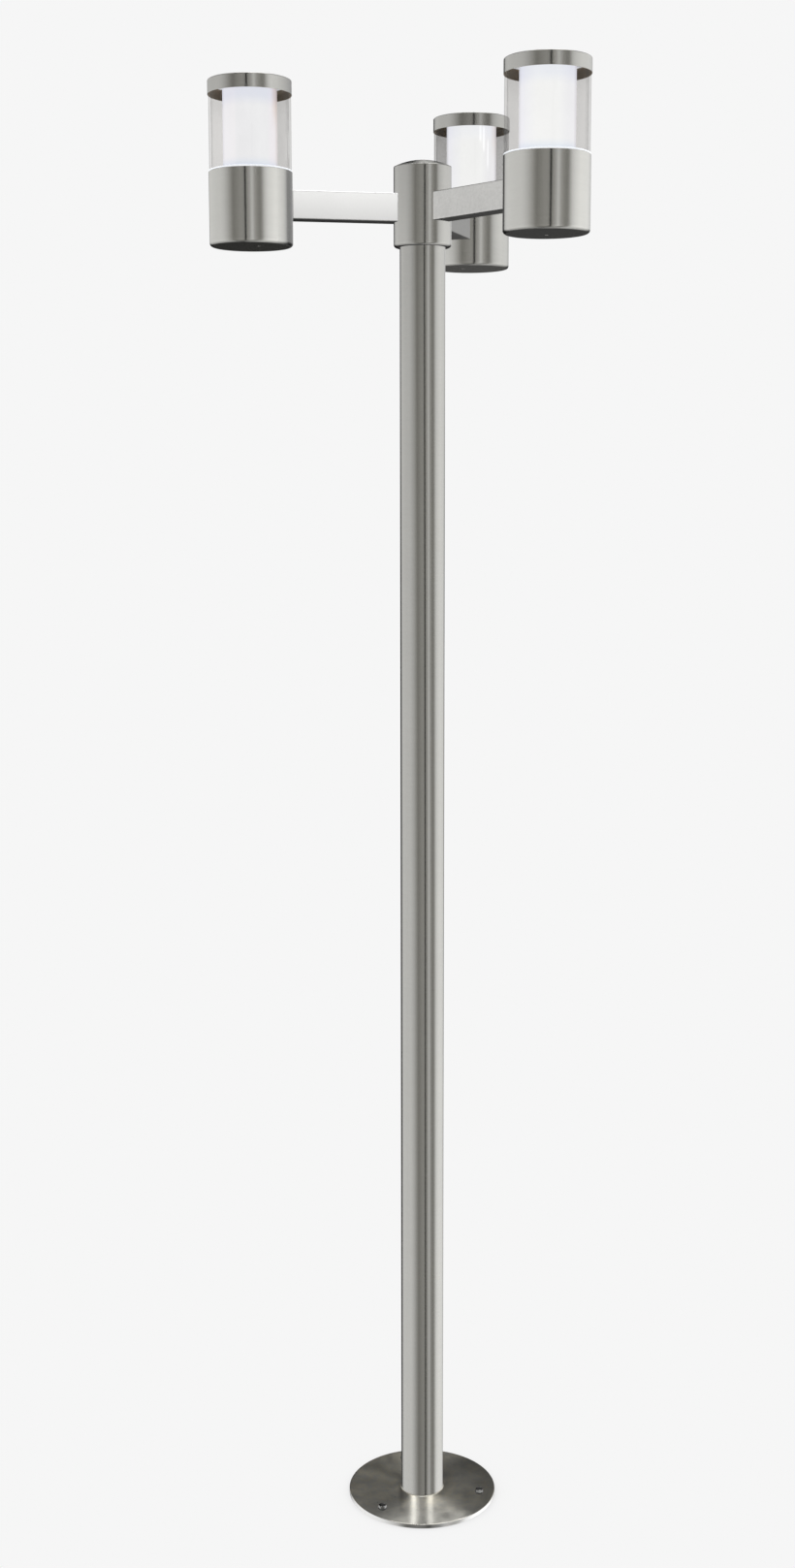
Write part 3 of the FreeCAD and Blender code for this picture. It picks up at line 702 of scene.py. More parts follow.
# the screw heads carry painted shade, darkest on top
screw_mat = fastener_material("ground_screw", top=0.4)
washer_mat = dielectric("dark_washer", (0.055, 0.055, 0.052), roughness=0.42, cell=900.0,
                        vary=0.15, bump=0.15, depth=0.00005)
# the gasket and cap seal glow with painted light
gasket_mat = dielectric("silicone_painted_glow", (0.92, 0.93, 0.97), roughness=0.35, cell=500.0,
                        vary=0.03, bump=0.08, glow=((0.9, 0.94, 1.0), 0.55))
rubber_mat = dielectric("rubber", (0.03, 0.03, 0.03), roughness=0.75, cell=700.0,
                        vary=0.25, bump=0.3, depth=0.0002, specular=0.3)
ceramic_mat = dielectric("ceramic", (0.86, 0.85, 0.82), roughness=0.18, cell=300.0,
                         vary=0.03, bump=0.05)
plastic_mat = dielectric("white_plastic", (0.86, 0.86, 0.85), roughness=0.45, cell=1200.0,
                         vary=0.03, bump=0.12, depth=0.00005)

# per head: painted see-through levels and painted highlights
CLEAR_PAINTED_SHADING = {
    "left": dict(left=0.919, right_=0.874, streaks=[(0.925, 0.018, 1.862, 1.905, 0.16)]),
    "right": dict(left=0.891, right_=0.897),
    "rear": dict(left=0.775, right_=0.795, streaks=[
        (0.24, 0.05, 1.922, 1.950, 0.13), (0.33, 0.04, 1.908, 1.950, 0.17),
        (0.44, 0.03, 1.886, 1.932, 0.17), (0.88, 0.02, 1.86, 1.90, 0.12)])}
clear_mats = {head: clear_material("clear_" + head, HEAD_CENTRE[head], **CLEAR_PAINTED_SHADING[head])
              for head in HEADS}
# painted light and shade across each diffuser, from its left to its right edge
DIFFUSER_PAINTED_LEFT = [
    (0.0, (0.88, 0.88, 0.94)), (0.03, (0.96, 0.955, 0.99)), (0.22, (0.985, 0.975, 1.0)),
    (0.245, (0.955, 0.96, 0.985)), (0.8, (0.955, 0.965, 0.985)), (0.86, (0.965, 0.95, 0.985)),
    (0.94, (0.95, 0.92, 0.95)), (1.0, (0.84, 0.79, 0.79))]
DIFFUSER_PAINTED_RIGHT = [
    (0.0, (0.84, 0.84, 0.89)), (0.05, (0.92, 0.925, 0.98)), (0.14, (0.95, 0.96, 0.99)),
    (0.32, (1.0, 1.01, 1.01)), (0.68, (1.0, 1.01, 1.01)), (0.85, (0.955, 0.96, 0.985)),
    (0.95, (0.92, 0.92, 0.95)), (1.0, (0.82, 0.80, 0.84))]
DIFFUSER_PAINTED_LIGHT = {
    "left": dict(painted_shading_stops=DIFFUSER_PAINTED_LEFT, level=1.02, painted_top_tint=(0.84, 0.865, 0.95), warm=1.0),
    "right": dict(painted_shading_stops=DIFFUSER_PAINTED_RIGHT, level=1.055, painted_top_tint=(0.86, 0.885, 0.955)),
    "rear": dict(painted_shading_stops=DIFFUSER_PAINTED_RIGHT, level=1.03, painted_top_tint=(0.93, 0.945, 0.985), warm=0.6)}
diffuser_mats = {head: diffuser_material("satin_" + head, HEAD_CENTRE[head],
                                         **DIFFUSER_PAINTED_LIGHT[head]) for head in HEADS}


# ------------------------------------------------------------------ mesh helpers
def rounded(points, closed=True):
    """Rounds the corners of a profile of (r, z, rounding) in mm. Gives (r, z) points, with a
    support point close to both ends of each arc."""
    result = []
    count = len(points)
    for i, (x, y, rounding) in enumerate(points):
        if rounding <= 0 or (not closed and i in (0, count - 1)):
            result.append((x, y))
            continue
        corner = Vector((x, y))
        to_last = Vector(points[i - 1][:2]) - corner
        to_next = Vector(points[(i + 1) % count][:2]) - corner
        length_last, length_next = to_last.length, to_next.length
        to_last.normalize()
        to_next.normalize()
        angle = to_last.angle(to_next)
        if angle > math.pi - 0.02:
            result.append((x, y))
            continue
        setback = min(rounding / math.tan(angle / 2), length_last * 0.45, length_next * 0.45)
        radius = setback * math.tan(angle / 2)
        centre = corner + (to_last + to_next).normalized() * (radius / math.sin(angle / 2))
        start = corner + to_last * setback
        end = corner + to_next * setback
        first = math.atan2(start.y - centre.y, start.x - centre.x)
        last = math.atan2(end.y - centre.y, end.x - centre.x)
        sweep = (last - first + math.pi) % TAU - math.pi
        steps = max(3, int(abs(sweep) / math.radians(13)) + 1)
        support = 0.25 + radius * 0.3
        result.append(tuple(start + to_last * min(support, (length_last - setback) * 0.4)))
        for k in range(steps + 1):
            turn = first + sweep * k / steps
            result.append((centre.x + radius * math.cos(turn), centre.y + radius * math.sin(turn)))
        result.append(tuple(end + to_next * min(support, (length_next - setback) * 0.4)))
    return result


def smooth_shade(mesh, sharp):
    for polygon in mesh.polygons:
        polygon.use_smooth = True
    mesh.set_sharp_from_angle(angle=math.radians(sharp))


def finish_mesh(bm, name, material=None, sharp=32.0):
    mesh = bpy.data.meshes.new(name)
    bmesh.ops.recalc_face_normals(bm, faces=bm.faces)
    bm.to_mesh(mesh)
    bm.free()
    smooth_shade(mesh, sharp)
    made = bpy.data.objects.new(name, mesh)
    bpy.context.scene.collection.objects.link(made)
    if material:
        mesh.materials.append(material)
    return made


def remove(made):
    mesh = made.data
    bpy.data.objects.remove(made)
    bpy.data.meshes.remove(mesh)


def bridge(bm, first, second):
    """Faces between two closed rings of vertices; a ring of one vertex is a tip."""
    if len(first) == 1 and len(second) == 1:
        return
    count = max(len(first), len(second))
    for k in range(count):
        after = (k + 1) % count
        if len(first) == 1:
            bm.faces.new((first[0], second[k], second[after]))
        elif len(second) == 1:
            bm.faces.new((first[k], first[after], second[0]))
        else:
            bm.faces.new((first[k], first[after], second[after], second[k]))


def bridge_loop(bm, rings):
    for i, ring in enumerate(rings):
        bridge(bm, ring, rings[(i + 1) % len(rings)])


def lathe(name, profile, centre, material, segments=288):
    """Closed profile (r, z in mm) turned about the vertical axis through centre (metres)."""
    bm = bmesh.new()
    x0, y0 = centre
    rings = []
    for r, z in profile:
        if r < 1e-6:
            rings.append([bm.verts.new((x0, y0, z * MM))])
        else:
            rings.append([bm.verts.new((x0 + r * MM * math.cos(TAU * k / segments),
                                        y0 + r * MM * math.sin(TAU * k / segments), z * MM))
                          for k in range(segments)])
    bridge_loop(bm, rings)
    return finish_mesh(bm, name, material)


def rod(radius, start, end, segments=48):
    """Plain round cutter between two points (metres)."""
    bm = bmesh.new()
    start, end = Vector(start), Vector(end)
    turn = (end - start).to_track_quat("Z", "Y").to_matrix()
    rings = [[bm.verts.new(middle + turn @ Vector((radius * math.cos(TAU * k / segments),
                                                   radius * math.sin(TAU * k / segments), 0)))
              for k in range(segments)] for middle in (start, end)]
    bridge(bm, *rings)
    bm.faces.new(rings[0][::-1])
    bm.faces.new(rings[1])
    return finish_mesh(bm, "cutter")


def cut(made, cutters):
    """Exact boolean difference, applied to the mesh."""
    for cutter in cutters:
        modifier = made.modifiers.new("cut", "BOOLEAN")
        modifier.operation = "DIFFERENCE"
        modifier.solver = "EXACT"
        modifier.object = cutter
    depsgraph = bpy.context.evaluated_depsgraph_get()
    mesh = bpy.data.meshes.new_from_object(made.evaluated_get(depsgraph))
    made.modifiers.clear()
    bm = bmesh.new()
    bm.from_mesh(mesh)
    bmesh.ops.dissolve_degenerate(bm, edges=bm.edges, dist=1e-7)
    bm.to_mesh(mesh)
    bm.free()
    old = made.data
    made.data = mesh
    bpy.data.meshes.remove(old)
    smooth_shade(mesh, 32)
    for cutter in cutters:
        remove(cutter)


def place(made, body, node):
    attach(made, body)
    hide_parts(node)


# ------------------------------------------------------------------ post
PLATE_RADIUS = span_mm("base_plate", 0)[1]
PLATE_TOP = span_mm("base_plate", 2)[1]
PLATE_BORE = 16.0
BOLT_CIRCLE = 0.085
bolts = [(BOLT_CIRCLE * math.cos(math.radians(a)), BOLT_CIRCLE * math.sin(math.radians(a)))
         for a in (96.0, 216.0, 336.0)]
plate = lathe("base_plate_visual", rounded([
    (PLATE_BORE, 0.0, 0.3), (PLATE_RADIUS, 0.0, 0.5), (PLATE_RADIUS, PLATE_TOP, 1.1),
    (PLATE_BORE, PLATE_TOP, 0.4)]), AXIS, plate_mat, 320)
cut(plate, [rod(0.0033, (x, y, -0.002), (x, y, PLATE_TOP * MM + 0.002)) for x, y in bolts])
place(plate, "post", "base_plate")

POLE_RADIUS = span_mm("pole", 0)[1]
POLE_BORE = POLE_RADIUS - 2.0
pole_z0, pole_z1 = span_mm("pole", 2)
pole = lathe("pole_visual", rounded([
    (POLE_BORE, pole_z0, 0.2), (POLE_RADIUS, pole_z0, 0.2), (POLE_RADIUS, pole_z1, 0.5),
    (POLE_BORE, pole_z1, 0.3)]), AXIS, pole_mat, 320)
place(pole, "post", "pole")


def weld_bead():
    """Hollow fillet weld around the foot of the pole, with overlapping ripples."""
    segments, steps, ripples = 720, 9, 96
    foot_radius = POLE_RADIUS + 0.03
    leg = 1.5
    bm = bmesh.new()
    rings = []
    for s in range(segments):
        angle = TAU * s / segments
        ripple = 0.5 + 0.5 * math.cos((angle * ripples) % TAU)
        puff = 0.06 * ripple + 0.03 * math.sin(angle * 7 + 1.3) + 0.02 * math.sin(angle * 17)
        profile = [(0.0, 0.0), (leg, 0.0)]
        for j in range(1, steps):
            part = j / steps
            arch = math.sin(math.pi * part)
            bulge = -0.22 * arch * leg + puff * arch * 1.3
            profile.append((leg * (1 - part) + bulge * 0.707, leg * part + bulge * 0.707))
        profile.append((0.0, leg))
        ring = []
        for x, y in profile:
            r = foot_radius + max(0.0, x)
            ring.append(bm.verts.new((r * MM * math.cos(angle), r * MM * math.sin(angle),
                                      (PLATE_TOP + max(0.0, y)) * MM)))
        rings.append(ring)
    bridge_loop(bm, rings)
    return finish_mesh(bm, "pole_weld_visual", plate_mat, 50)


place(weld_bead(), "post", "pole_weld")

WASHER_THICK = 1.6
HEAD_FOOT = PLATE_TOP + WASHER_THICK
FLAT = 5.0
HEX = math.inf
# screw outline from tip to head: (round limit, half width across flats, z) in mm;
# each row is the smaller of the circle and the hexagon, and a limit of 0 is a point
SCREW_ROWS = [
    (0.0, FLAT, -40.0), (2.35, FLAT, -40.0), (2.95, FLAT, -39.4),
    (2.98, FLAT, HEAD_FOOT - 0.3), (3.0, FLAT, HEAD_FOOT),
    (4.75, FLAT, HEAD_FOOT), (4.75, FLAT, HEAD_FOOT + 0.15),
    (HEX, FLAT - 0.06, HEAD_FOOT + 0.15), (HEX, FLAT, HEAD_FOOT + 0.3),
    (HEX, FLAT, HEAD_FOOT + 3.2), (5.55, FLAT, HEAD_FOOT + 3.45), (5.2, FLAT, HEAD_FOOT + 3.72),
    (4.85, FLAT, HEAD_FOOT + 3.95), (4.6, FLAT, HEAD_FOOT + 4.0), (2.0, FLAT, HEAD_FOOT + 4.0),
    (0.0, FLAT, HEAD_FOOT + 4.0)]


def hex_screws():
    """Three hexagon screws with chamfered heads and a raised washer face."""
    segments = 96
    bm = bmesh.new()
    for i, (x0, y0) in enumerate(bolts):
        spin = math.radians(20.0 + 31.0 * i)
        rings = []
        for limit, flat, z in SCREW_ROWS:
            ring = []
            for k in range(segments if limit else 1):
                angle = TAU * k / segments
                r = min(limit, flat / math.cos(angle % (math.pi / 3) - math.pi / 6))
                ring.append(bm.verts.new((x0 + r * MM * math.cos(angle + spin),
                                          y0 + r * MM * math.sin(angle + spin), z * MM)))
            rings.append(ring)
        for lower, upper in zip(rings, rings[1:]):
            bridge(bm, lower, upper)
    return finish_mesh(bm, "ground_screws_visual", screw_mat, 25)


place(hex_screws(), "post", "ground_screws")


def ground_washers():
    """Three washers in one object."""
    profile = rounded([(3.2, PLATE_TOP, 0.1), (6.0, PLATE_TOP, 0.15), (6.0, HEAD_FOOT, 0.35),
                       (3.2, HEAD_FOOT, 0.3)])
    bm = bmesh.new()
    for bolt in bolts:
        washer = lathe("washer", profile, bolt, None, 96)
        bm.from_mesh(washer.data)
        remove(washer)
    return finish_mesh(bm, "ground_washers_visual", washer_mat)


place(ground_washers(), "post", "ground_washers")

# ------------------------------------------------------------------ hub
HUB_RADIUS = span_mm("hub_body", 0)[1]
hub_z0, hub_z1 = span_mm("hub_body", 2)
# an inner ledge lies between the lower bore and the wider upper bore
HUB_BORE, HUB_UPPER_BORE, LEDGE_BORE = 30.21, 35.05, 26.0
LEDGE_Z0 = 1786.5
LEDGE_Z1 = LEDGE_Z0 + 6.0
SIDE_HOLE_Z = 1.774
ARM_HOLE_Z = 1.811
ARM_HOLE_RADIUS = 0.005
hub = lathe("hub_body_visual", rounded(
    [(HUB_BORE, hub_z0, 0.5), (HUB_RADIUS, hub_z0, 4.0)]
    + [(HUB_RADIUS, hub_z0 + rise, 0) for rise in (8.0, 10.0, 12.0, 14.0, 16.0)]
    + [(HUB_RADIUS, hub_z1, 0.8), (HUB_UPPER_BORE, hub_z1, 0.3), (HUB_UPPER_BORE, LEDGE_Z1, 0.3),
       (LEDGE_BORE, LEDGE_Z1, 0.3), (LEDGE_BORE, LEDGE_Z0, 0.3), (HUB_BORE, LEDGE_Z0, 0.1)]),
    AXIS, hub_mat, 320)
# holes through the wall: (bearings, height, radius, inner end, outer end)
HUB_HOLES = [((40.0, 130.0), SIDE_HOLE_Z, 0.00305, 0.028, 0.042),
             (HEAD_BEARING.values(), ARM_HOLE_Z, ARM_HOLE_RADIUS, 0.033, 0.042)]
cut(hub, [rod(radius, Vector((0, 0, z)) + heading(bearing) * inner,
              Vector((0, 0, z)) + heading(bearing) * outer)
          for bearings, z, radius, inner, outer in HUB_HOLES for bearing in bearings])
place(hub, "crown", "hub_body")


def hub_cap():
    """Shallow dome with a grooved spigot that reaches down into the hub."""
    top = span_mm("hub_cap", 2)[1]
    radius = HUB_RADIUS - 0.15
    rise = top - (hub_z1 + 0.4)
    sphere = (radius ** 2 + rise ** 2) / (2 * rise)
    centre_z = top - sphere
    spigot, groove = 34.95, 32.85
    profile = [
        (0.0, hub_z1 - 2.0, 0), (30.0, hub_z1 - 2.0, 0.2), (30.0, hub_z1 - 8.0, 0.3),
        (spigot, hub_z1 - 8.0, 0.3), (spigot, hub_z1 - 6.0, 0.2), (groove, hub_z1 - 6.0, 0),
        (groove, hub_z1 - 3.2, 0), (spigot, hub_z1 - 3.2, 0.2), (spigot, hub_z1 + 0.02, 0),
        (radius, hub_z1 + 0.02, 0.12)]
    for k in range(25):
        r = radius * (1 - k / 24.0)
        profile.append((r, centre_z + math.sqrt(max(0.0, sphere ** 2 - r ** 2)), 0))
    return lathe("hub_cap_visual", rounded(profile, closed=False), AXIS, hub_mat)


place(hub_cap(), "hub_top", "hub_cap")


# ------------------------------------------------------------------ arms
ARM_HALF_WIDTH = 14.0
ARM_WALL = 2.0
ARM_CORNER = 1.2
JOINT_GAP = 0.02
END_ZONE = 1.4
# stations along an arm: (end it is measured from, offset in mm, inset of the section);
# middle offsets are shares of the length between the end zones
ARM_STATIONS = [
    ("hub", 0.0, 0.45), ("hub", 0.25, 0.12), ("hub", 0.6, 0.0), ("hub", END_ZONE, 0.0),
    ("middle", 0.25, 0.0), ("middle", 0.5, 0.0), ("middle", 0.75, 0.0),
    ("head", END_ZONE, 0.0), ("head", 0.6, 0.0), ("head", 0.25, 0.12), ("head", 0.0, 0.45)]


def arm_section(half_height, inset):
    """Rounded rectangle of (y, z); extra points on the flats keep the end curves round."""
    a, b = ARM_HALF_WIDTH - inset, half_height - inset
    corner = max(0.15, ARM_CORNER - inset)
    points = []
    for y, z, start in ((a - corner, b - corner, 0), (-a + corner, b - corner, 90),
                        (-a + corner, -b + corner, 180), (a - corner, -b + corner, 270)):
        for k in range(7):
            angle = math.radians(start + 90.0 * k / 6)
            points.append((y + corner * math.cos(angle), z + corner * math.sin(angle)))
    result = []
    for p, q in zip(points, points[1:] + points[:1]):
        result.append(p)
        gap = math.dist(p, q)
        if gap > 3.0:
            steps = int(gap / 1.2)
            result += [(p[0] + (q[0] - p[0]) * k / steps, p[1] + (q[1] - p[1]) * k / steps)
                       for k in range(1, steps)]
    return result


def arm(head):
    """Box tube from the hub to a lantern cup, both ends shaped to the round walls."""
    z0, z1 = span_mm("arm_" + head, 2)
    middle_z, half_height = (z0 + z1) / 2, (z1 - z0) / 2
    reach = math.hypot(*HEAD_CENTRE[head]) / MM
    cup_x0, cup_x1 = span_mm("lantern_cup_" + head, 0)
    head_radius = (cup_x1 - cup_x0) / 2
    bearing = math.radians(HEAD_BEARING[head])
    cosine, sine = math.cos(bearing), math.sin(bearing)
    bm = bmesh.new()

    def hub_x(y, offset):
        return math.sqrt((HUB_RADIUS + JOINT_GAP) ** 2 - y * y) + offset

    def head_x(y, offset):
        return reach - math.sqrt((head_radius + JOINT_GAP) ** 2 - y * y) - offset

    def middle_x(y, share):
        return hub_x(y, END_ZONE) * (1 - share) + head_x(y, END_ZONE) * share

    def ring(section, place_x, offset):
        made = []
        for y, z in section:
            x = place_x(y, offset)
            made.append(bm.verts.new(((x * cosine - y * sine) * MM, (x * sine + y * cosine) * MM,
                                      (middle_z + z) * MM)))
        return made

    places = {"hub": hub_x, "middle": middle_x, "head": head_x}
    rings = [ring(arm_section(half_height, inset), places[end], offset)
             for end, offset, inset in ARM_STATIONS]
    # inner wall: the outer section clamped to the bore
    bore_y, bore_z = ARM_HALF_WIDTH - ARM_WALL, half_height - ARM_WALL
    bore = [(max(-bore_y, min(bore_y, y)), max(-bore_z, min(bore_z, z)))
            for y, z in arm_section(half_height, 0.0)]
    inner_hub = ring(bore, hub_x, 0.0)
    inner_head = ring(bore, head_x, 0.0)
    bridge_loop(bm, [inner_hub] + rings + [inner_head])
    bmesh.ops.remove_doubles(bm, verts=bm.verts, dist=1e-7)
    bmesh.ops.dissolve_degenerate(bm, edges=bm.edges, dist=1e-7)
    return finish_mesh(bm, "arm_%s_visual" % head, arm_mats[head], 30)


arms = {}
for head in HEADS:
    arms[head] = arm(head)
    place(arms[head], "crown", "arm_" + head)


# ------------------------------------------------------------------ lanterns
def cup(head, centre, radius, z0, z1):
    """Open cup with a hole towards the arm and a small one in the floor."""
    bore, floor_z = radius - 2.0, z0 + 2.5
    made = lathe("lantern_cup_%s_visual" % head, rounded([
        (0.0, z0, 0), (20.0, z0, 0), (44.0, z0, 0), (radius, z0, 4.0), (radius, z1, 0.45),
        (bore, z1, 0.3), (bore, floor_z, 2.0), (30.0, floor_z, 0), (0.0, floor_z, 0)],
        closed=False), centre, cup_mats[head], 320)
    outward = heading(HEAD_BEARING[head])
    middle = Vector((*centre, ARM_HOLE_Z))
    floor_hole = Vector((*centre, z0 * MM)) + heading(HEAD_BEARING[head] + 133.0) * 0.0127
    cut(made, [rod(ARM_HOLE_RADIUS, middle - outward * 0.058, middle - outward * 0.046),
               rod(0.0018, floor_hole - Vector((0, 0, 0.001)), floor_hole + Vector((0, 0, 0.004)))])
    return made


def gasket(head, centre, radius, cup_top):
    """Ring with a raised inner lip, hanging a little into the cup."""
    z0, z1 = span_mm("cup_gasket_" + head, 2)
    return lathe("cup_gasket_%s_visual" % head, rounded([
        (48.5, cup_top, 0.1), (50.0, cup_top, 0), (50.0, z0, 0.3), (51.9, z0, 0.3),
        (51.9, cup_top, 0), (radius - 0.5, cup_top, 0.3), (radius - 0.5, z1, 0.5),
        (48.5, z1, 0.3)]), centre, gasket_mat)


def cylinder(kind, head, centre, inner, outer, top_rounding, foot_rounding, material, segments):
    z0, z1 = span_mm("%s_%s" % (kind, head), 2)
    return lathe("%s_%s_visual" % (kind, head), rounded([
        (inner, z0, foot_rounding), (outer, z0, foot_rounding), (outer, z1, top_rounding),
        (inner, z1, top_rounding)]), centre, material, segments)


def cap(head, centre, radius):
    """Shallow lid with a thin rim that hangs down."""
    z0, z1 = span_mm("lantern_cap_" + head, 2)
    rim, under_z = radius - 0.9, z1 - 2.0
    return lathe("lantern_cap_%s_visual" % head, rounded([
        (0.0, under_z, 0), (30.0, under_z, 0), (rim, under_z, 0.3), (rim, z0, 0.25),
        (radius, z0, 0.3), (radius, z1, 0.9), (46.0, z1, 0), (20.0, z1, 0), (0.0, z1, 0)],
        closed=False), centre, cap_mats[head], 320)


for head in HEADS:
    centre = HEAD_CENTRE[head]
    cup_x0, cup_x1 = span_mm("lantern_cup_" + head, 0)
    cup_z0, cup_z1 = span_mm("lantern_cup_" + head, 2)
    radius = (cup_x1 - cup_x0) / 2
    # a faceted CAD box can be slightly narrow
    radius = 54.0 if abs(radius - 54.0) < 0.3 else radius
    crown, shade = "crown", "shade_" + head
    place(cup(head, centre, radius, cup_z0, cup_z1),
          crown, "lantern_cup_" + head)
    place(gasket(head, centre, radius, cup_z1), crown, "cup_gasket_" + head)
    place(cylinder("clear_cylinder", head, centre, 50.0, 53.0, top_rounding=0.4,
                   foot_rounding=0.4, material=clear_mats[head], segments=320),
          shade, "clear_cylinder_" + head)
    place(cylinder("satin_diffuser", head, centre, 33.0, 35.0, top_rounding=0.5,
                   foot_rounding=0.3, material=diffuser_mats[head], segments=288),
          crown, "satin_diffuser_" + head)
    place(cap(head, centre, radius), shade, "lantern_cap_" + head)


# ------------------------------------------------------------------ pieces that keep their CAD shape
def assign(material, *prefixes):
    for name, piece in frame["nodes"].items():
        if any(name == p or name.startswith(p + "_") for p in prefixes):
            piece.data.materials.clear()
            piece.data.materials.append(material)


assign(plastic_mat, "ring_nut", "carrier_plate", "terminal_block")
assign(ceramic_mat, "lamp_holder")
assign(rubber_mat, "supply_cable", "arm_cable", "cable_grommet", "cable_bushes", "hub_cap_seal")
assign(fastener_mat, "hub_set_screws", "bracket_screws", "holder_posts", "holder_screws",
       "terminal_bracket")
assign(gasket_mat, "cap_seal")
assign(satin_flat("bulb_shell", base=(0.78, 0.78, 0.76), roughness=0.3, mottle=0.6, cell=500.0),
       "bulb_base")
assign(dielectric("frosted_bulb", (0.93, 0.93, 0.9), roughness=0.3, cell=500.0, vary=0.02,
                  bump=0.03, depth=0.00005, subsurface=0.2), "bulb_globe")

# reflections show the studio and the pole only
for piece in bpy.context.scene.objects:
    if piece.type == "MESH" and piece.name != "pole_visual":
        piece.visible_glossy = False


# ------------------------------------------------------------------ floor
def floor_material():
    """Background colour, with soft contact shade near the plate."""
    material, net = new_material("studio_floor")
    x, y, _ = net.split(net.position())
    near = net.length(x, y).ease((0.10, 0.30), (0.28, 0.0))
    open_sky = net.node("AmbientOcclusion", {"Distance": 0.035, "Color": (1, 1, 1)},
                        out="AO", samples=8)
    light = 1.0 - (1.0 - open_sky) * near
    net.surface(net.node("Emission", {"Color": (BACKGROUND,) * 3, "Strength": light}))
    return material


def studio_floor():
    """Flat disc just below the base plate."""
    segments, z = 128, -0.0001
    bm = bmesh.new()
    rings = [[bm.verts.new((r * math.cos(TAU * k / segments), r * math.sin(TAU * k / segments), z))
              for k in range(segments)] for r in (0.12, 0.4, 0.8, 1.6)]
    centre = bm.verts.new((0, 0, z))
    for k in range(segments):
        after = (k + 1) % segments
        bm.faces.new((centre, rings[0][k], rings[0][after]))
        for inner, outer in zip(rings, rings[1:]):
            bm.faces.new((inner[k], outer[k], outer[after], inner[after]))
    made = finish_mesh(bm, "studio_floor")
    made.data.materials.append(floor_material())
    made.visible_glossy = False
    made.visible_diffuse = False
    made.visible_shadow = False
    return made


studio_floor()

# ------------------------------------------------------------------ light
FRONT_BEARING = math.radians(-99.802)
PANEL_GAIN = 1.0 / 0.62
# upright panels: (degrees from the front, positive to the right, display level)
PANELS = [
    (-180, 70), (-165, 110), (-150, 176), (-126, 187), (-76, 187), (-64.5, 180), (-53, 164),
    (-43, 143), (-34, 118), (-30, 108), (-25, 113), (-7, 128), (2.4, 124), (4.8, 119), (5.5, 0),
    (9.9, 0), (10.6, 119), (15.3, 127), (22.0, 148), (27.5, 176), (30.5, 168), (33.5, 150),
    (38.4, 133), (46, 117), (52.4, 106), (57.5, 120), (63.0, 158), (69, 184), (80, 203),
    (98, 214), (134, 204), (180, 190)]
# gain of the panels and light from behind: (degrees above the horizon, brightness)
PANEL_HEIGHT = [(-90, 0.7), (-66, 1.0), (-50, 1.1), (-25, 1.15), (-8, 1.08), (6, 1.08),
                (16, 1.0), (26, 0.35), (34, 0.2), (52, 0.2), (60, 0.7), (68, 2.6), (90, 2.6)]
PANEL_HEIGHT_PEAK = 4.0
BEHIND = [(-90, 0.6), (-50, 0.6), (-32, 0.35), (-19, 0.05), (-4, 0.035), (1, 0.25), (5, 0.75),
          (14, 0.7), (20, 0.3), (26, 0.14), (46, 0.13), (60, 0.5), (90, 0.9)]


def panel_colour(level):
    """The dimmer panels are a little warmer."""
    warmth = min(1.0, max(0.0, (172.0 - level) / 60.0))
    tint = (1.0 + 0.025 * warmth, 1.0 + 0.003 * warmth, 1.0 - 0.055 * warmth)
    return tuple(display_to_linear(level) * PANEL_GAIN * c for c in tint)


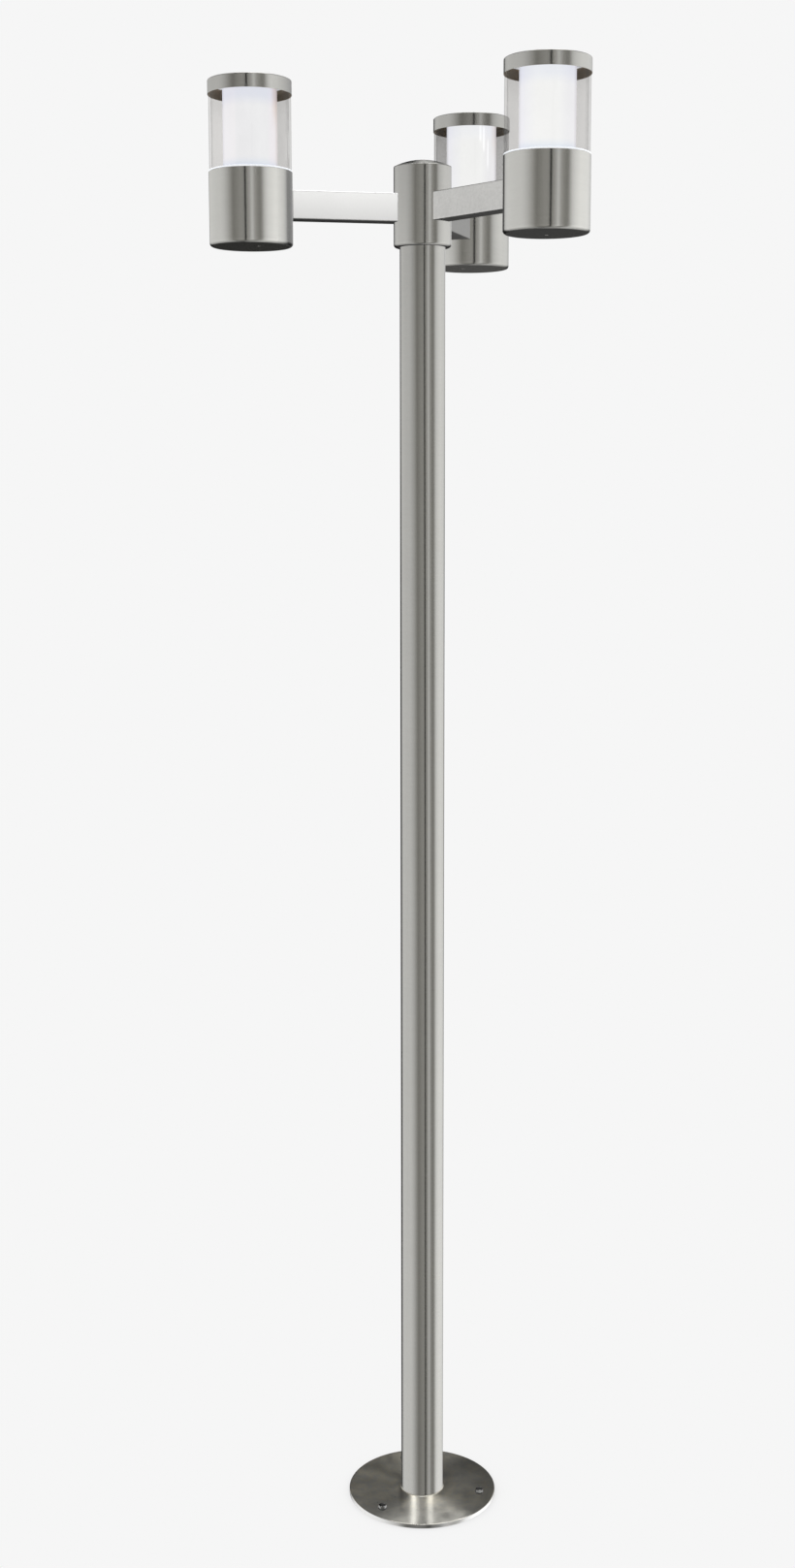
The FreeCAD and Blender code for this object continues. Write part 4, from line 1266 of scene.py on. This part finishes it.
def studio_world():
    """Surroundings as one dome: soft upright panels, a bright ceiling, dim light behind.
    The camera sees the plain background colour."""
    world = bpy.data.worlds.new("studio")
    bpy.context.scene.world = world
    world.use_nodes = True
    net = Net(world.node_tree)
    x, y, z = net.split(net.node("TexCoord", out="Generated"))
    bearing = net.math("WRAP", net.math("ARCTAN2", y, x) - FRONT_BEARING, math.pi, -math.pi)
    around = bearing.remap((-math.pi, math.pi), (0.0, 1.0))
    panels = around.ramp([(a, panel_colour(level)) for a, level in PANELS], -180, 180)
    clamped = net.math("MAXIMUM", net.math("MINIMUM", z, 1.0), -1.0)
    elevation = net.math("ARCSINE", clamped) * (180 / math.pi)
    height = elevation.remap((-90, 90), (0.0, 1.0))
    gain = height.ramp(PANEL_HEIGHT, -90, 90, PANEL_HEIGHT_PEAK) * PANEL_HEIGHT_PEAK
    light = net.scaled(panels, gain)
    behind = abs(bearing).fade_in(math.radians(130), math.radians(162))
    light = net.mix(behind, light, height.ramp(BEHIND, -90, 90))
    # dark to the left of straight behind
    dark = bearing.ease((math.radians(-155), math.radians(-147)), (0.88, 0.0))
    light = net.mix(dark, light, (0.0, 0.0, 0.0))
    # the ceiling starts lower on the right
    ceiling = (elevation + net.math("SINE", bearing) * 11.0).fade_in(57, 71)
    light = net.mix(ceiling, light, (2.8, 2.8, 2.8))
    colour = net.mix(net.light_path("Is Camera Ray"), light, (BACKGROUND,) * 3)
    net.surface(net.node("Background", {"Color": colour, "Strength": 1.0}), "OutputWorld")
    world.cycles.sampling_method = "MANUAL"
    world.cycles.sample_map_resolution = 1024


def arm_softbox():
    """Soft box that lights the left arm only, in the mirror direction of the camera."""
    target = Vector((-0.110, -0.014, 1.811))
    to_camera = (CAM_PLACE - target).normalized()
    mirrored = Vector((-to_camera.x, to_camera.y, -to_camera.z))
    light = bpy.data.lights.new("arm_softbox", "AREA")
    light.shape = "SQUARE"
    light.size = 1.3
    light.energy = 6.0
    lamp = bpy.data.objects.new("arm_softbox", light)
    bpy.context.scene.collection.objects.link(lamp)
    lamp.location = target + mirrored * 2.6
    lamp.rotation_euler = mirrored.to_track_quat("Z", "Y").to_euler()
    receivers = bpy.data.collections.new("arm_softbox_receivers")
    receivers.objects.link(arms["left"])
    lamp.light_linking.receiver_collection = receivers


studio_world()
arm_softbox()

# ------------------------------------------------------------------ camera
lens = bpy.data.cameras.new("camera")
lens.sensor_fit = "AUTO"
lens.sensor_width = SENSOR_WIDTH
lens.lens = LENS
lens.clip_start = 0.05
lens.clip_end = 50
camera = bpy.data.objects.new("camera", lens)
bpy.context.scene.collection.objects.link(camera)
rolled_right = right * math.cos(ROLL) + up * math.sin(ROLL)
rolled_up = -right * math.sin(ROLL) + up * math.cos(ROLL)
rotation = Matrix((rolled_right, rolled_up, -forward)).transposed()
camera.matrix_world = Matrix.Translation(CAM_PLACE) @ rotation.to_4x4()
bpy.context.scene.camera = camera
bpy.context.scene.view_settings.view_transform = "Standard"
bpy.context.scene.view_settings.look = "None"
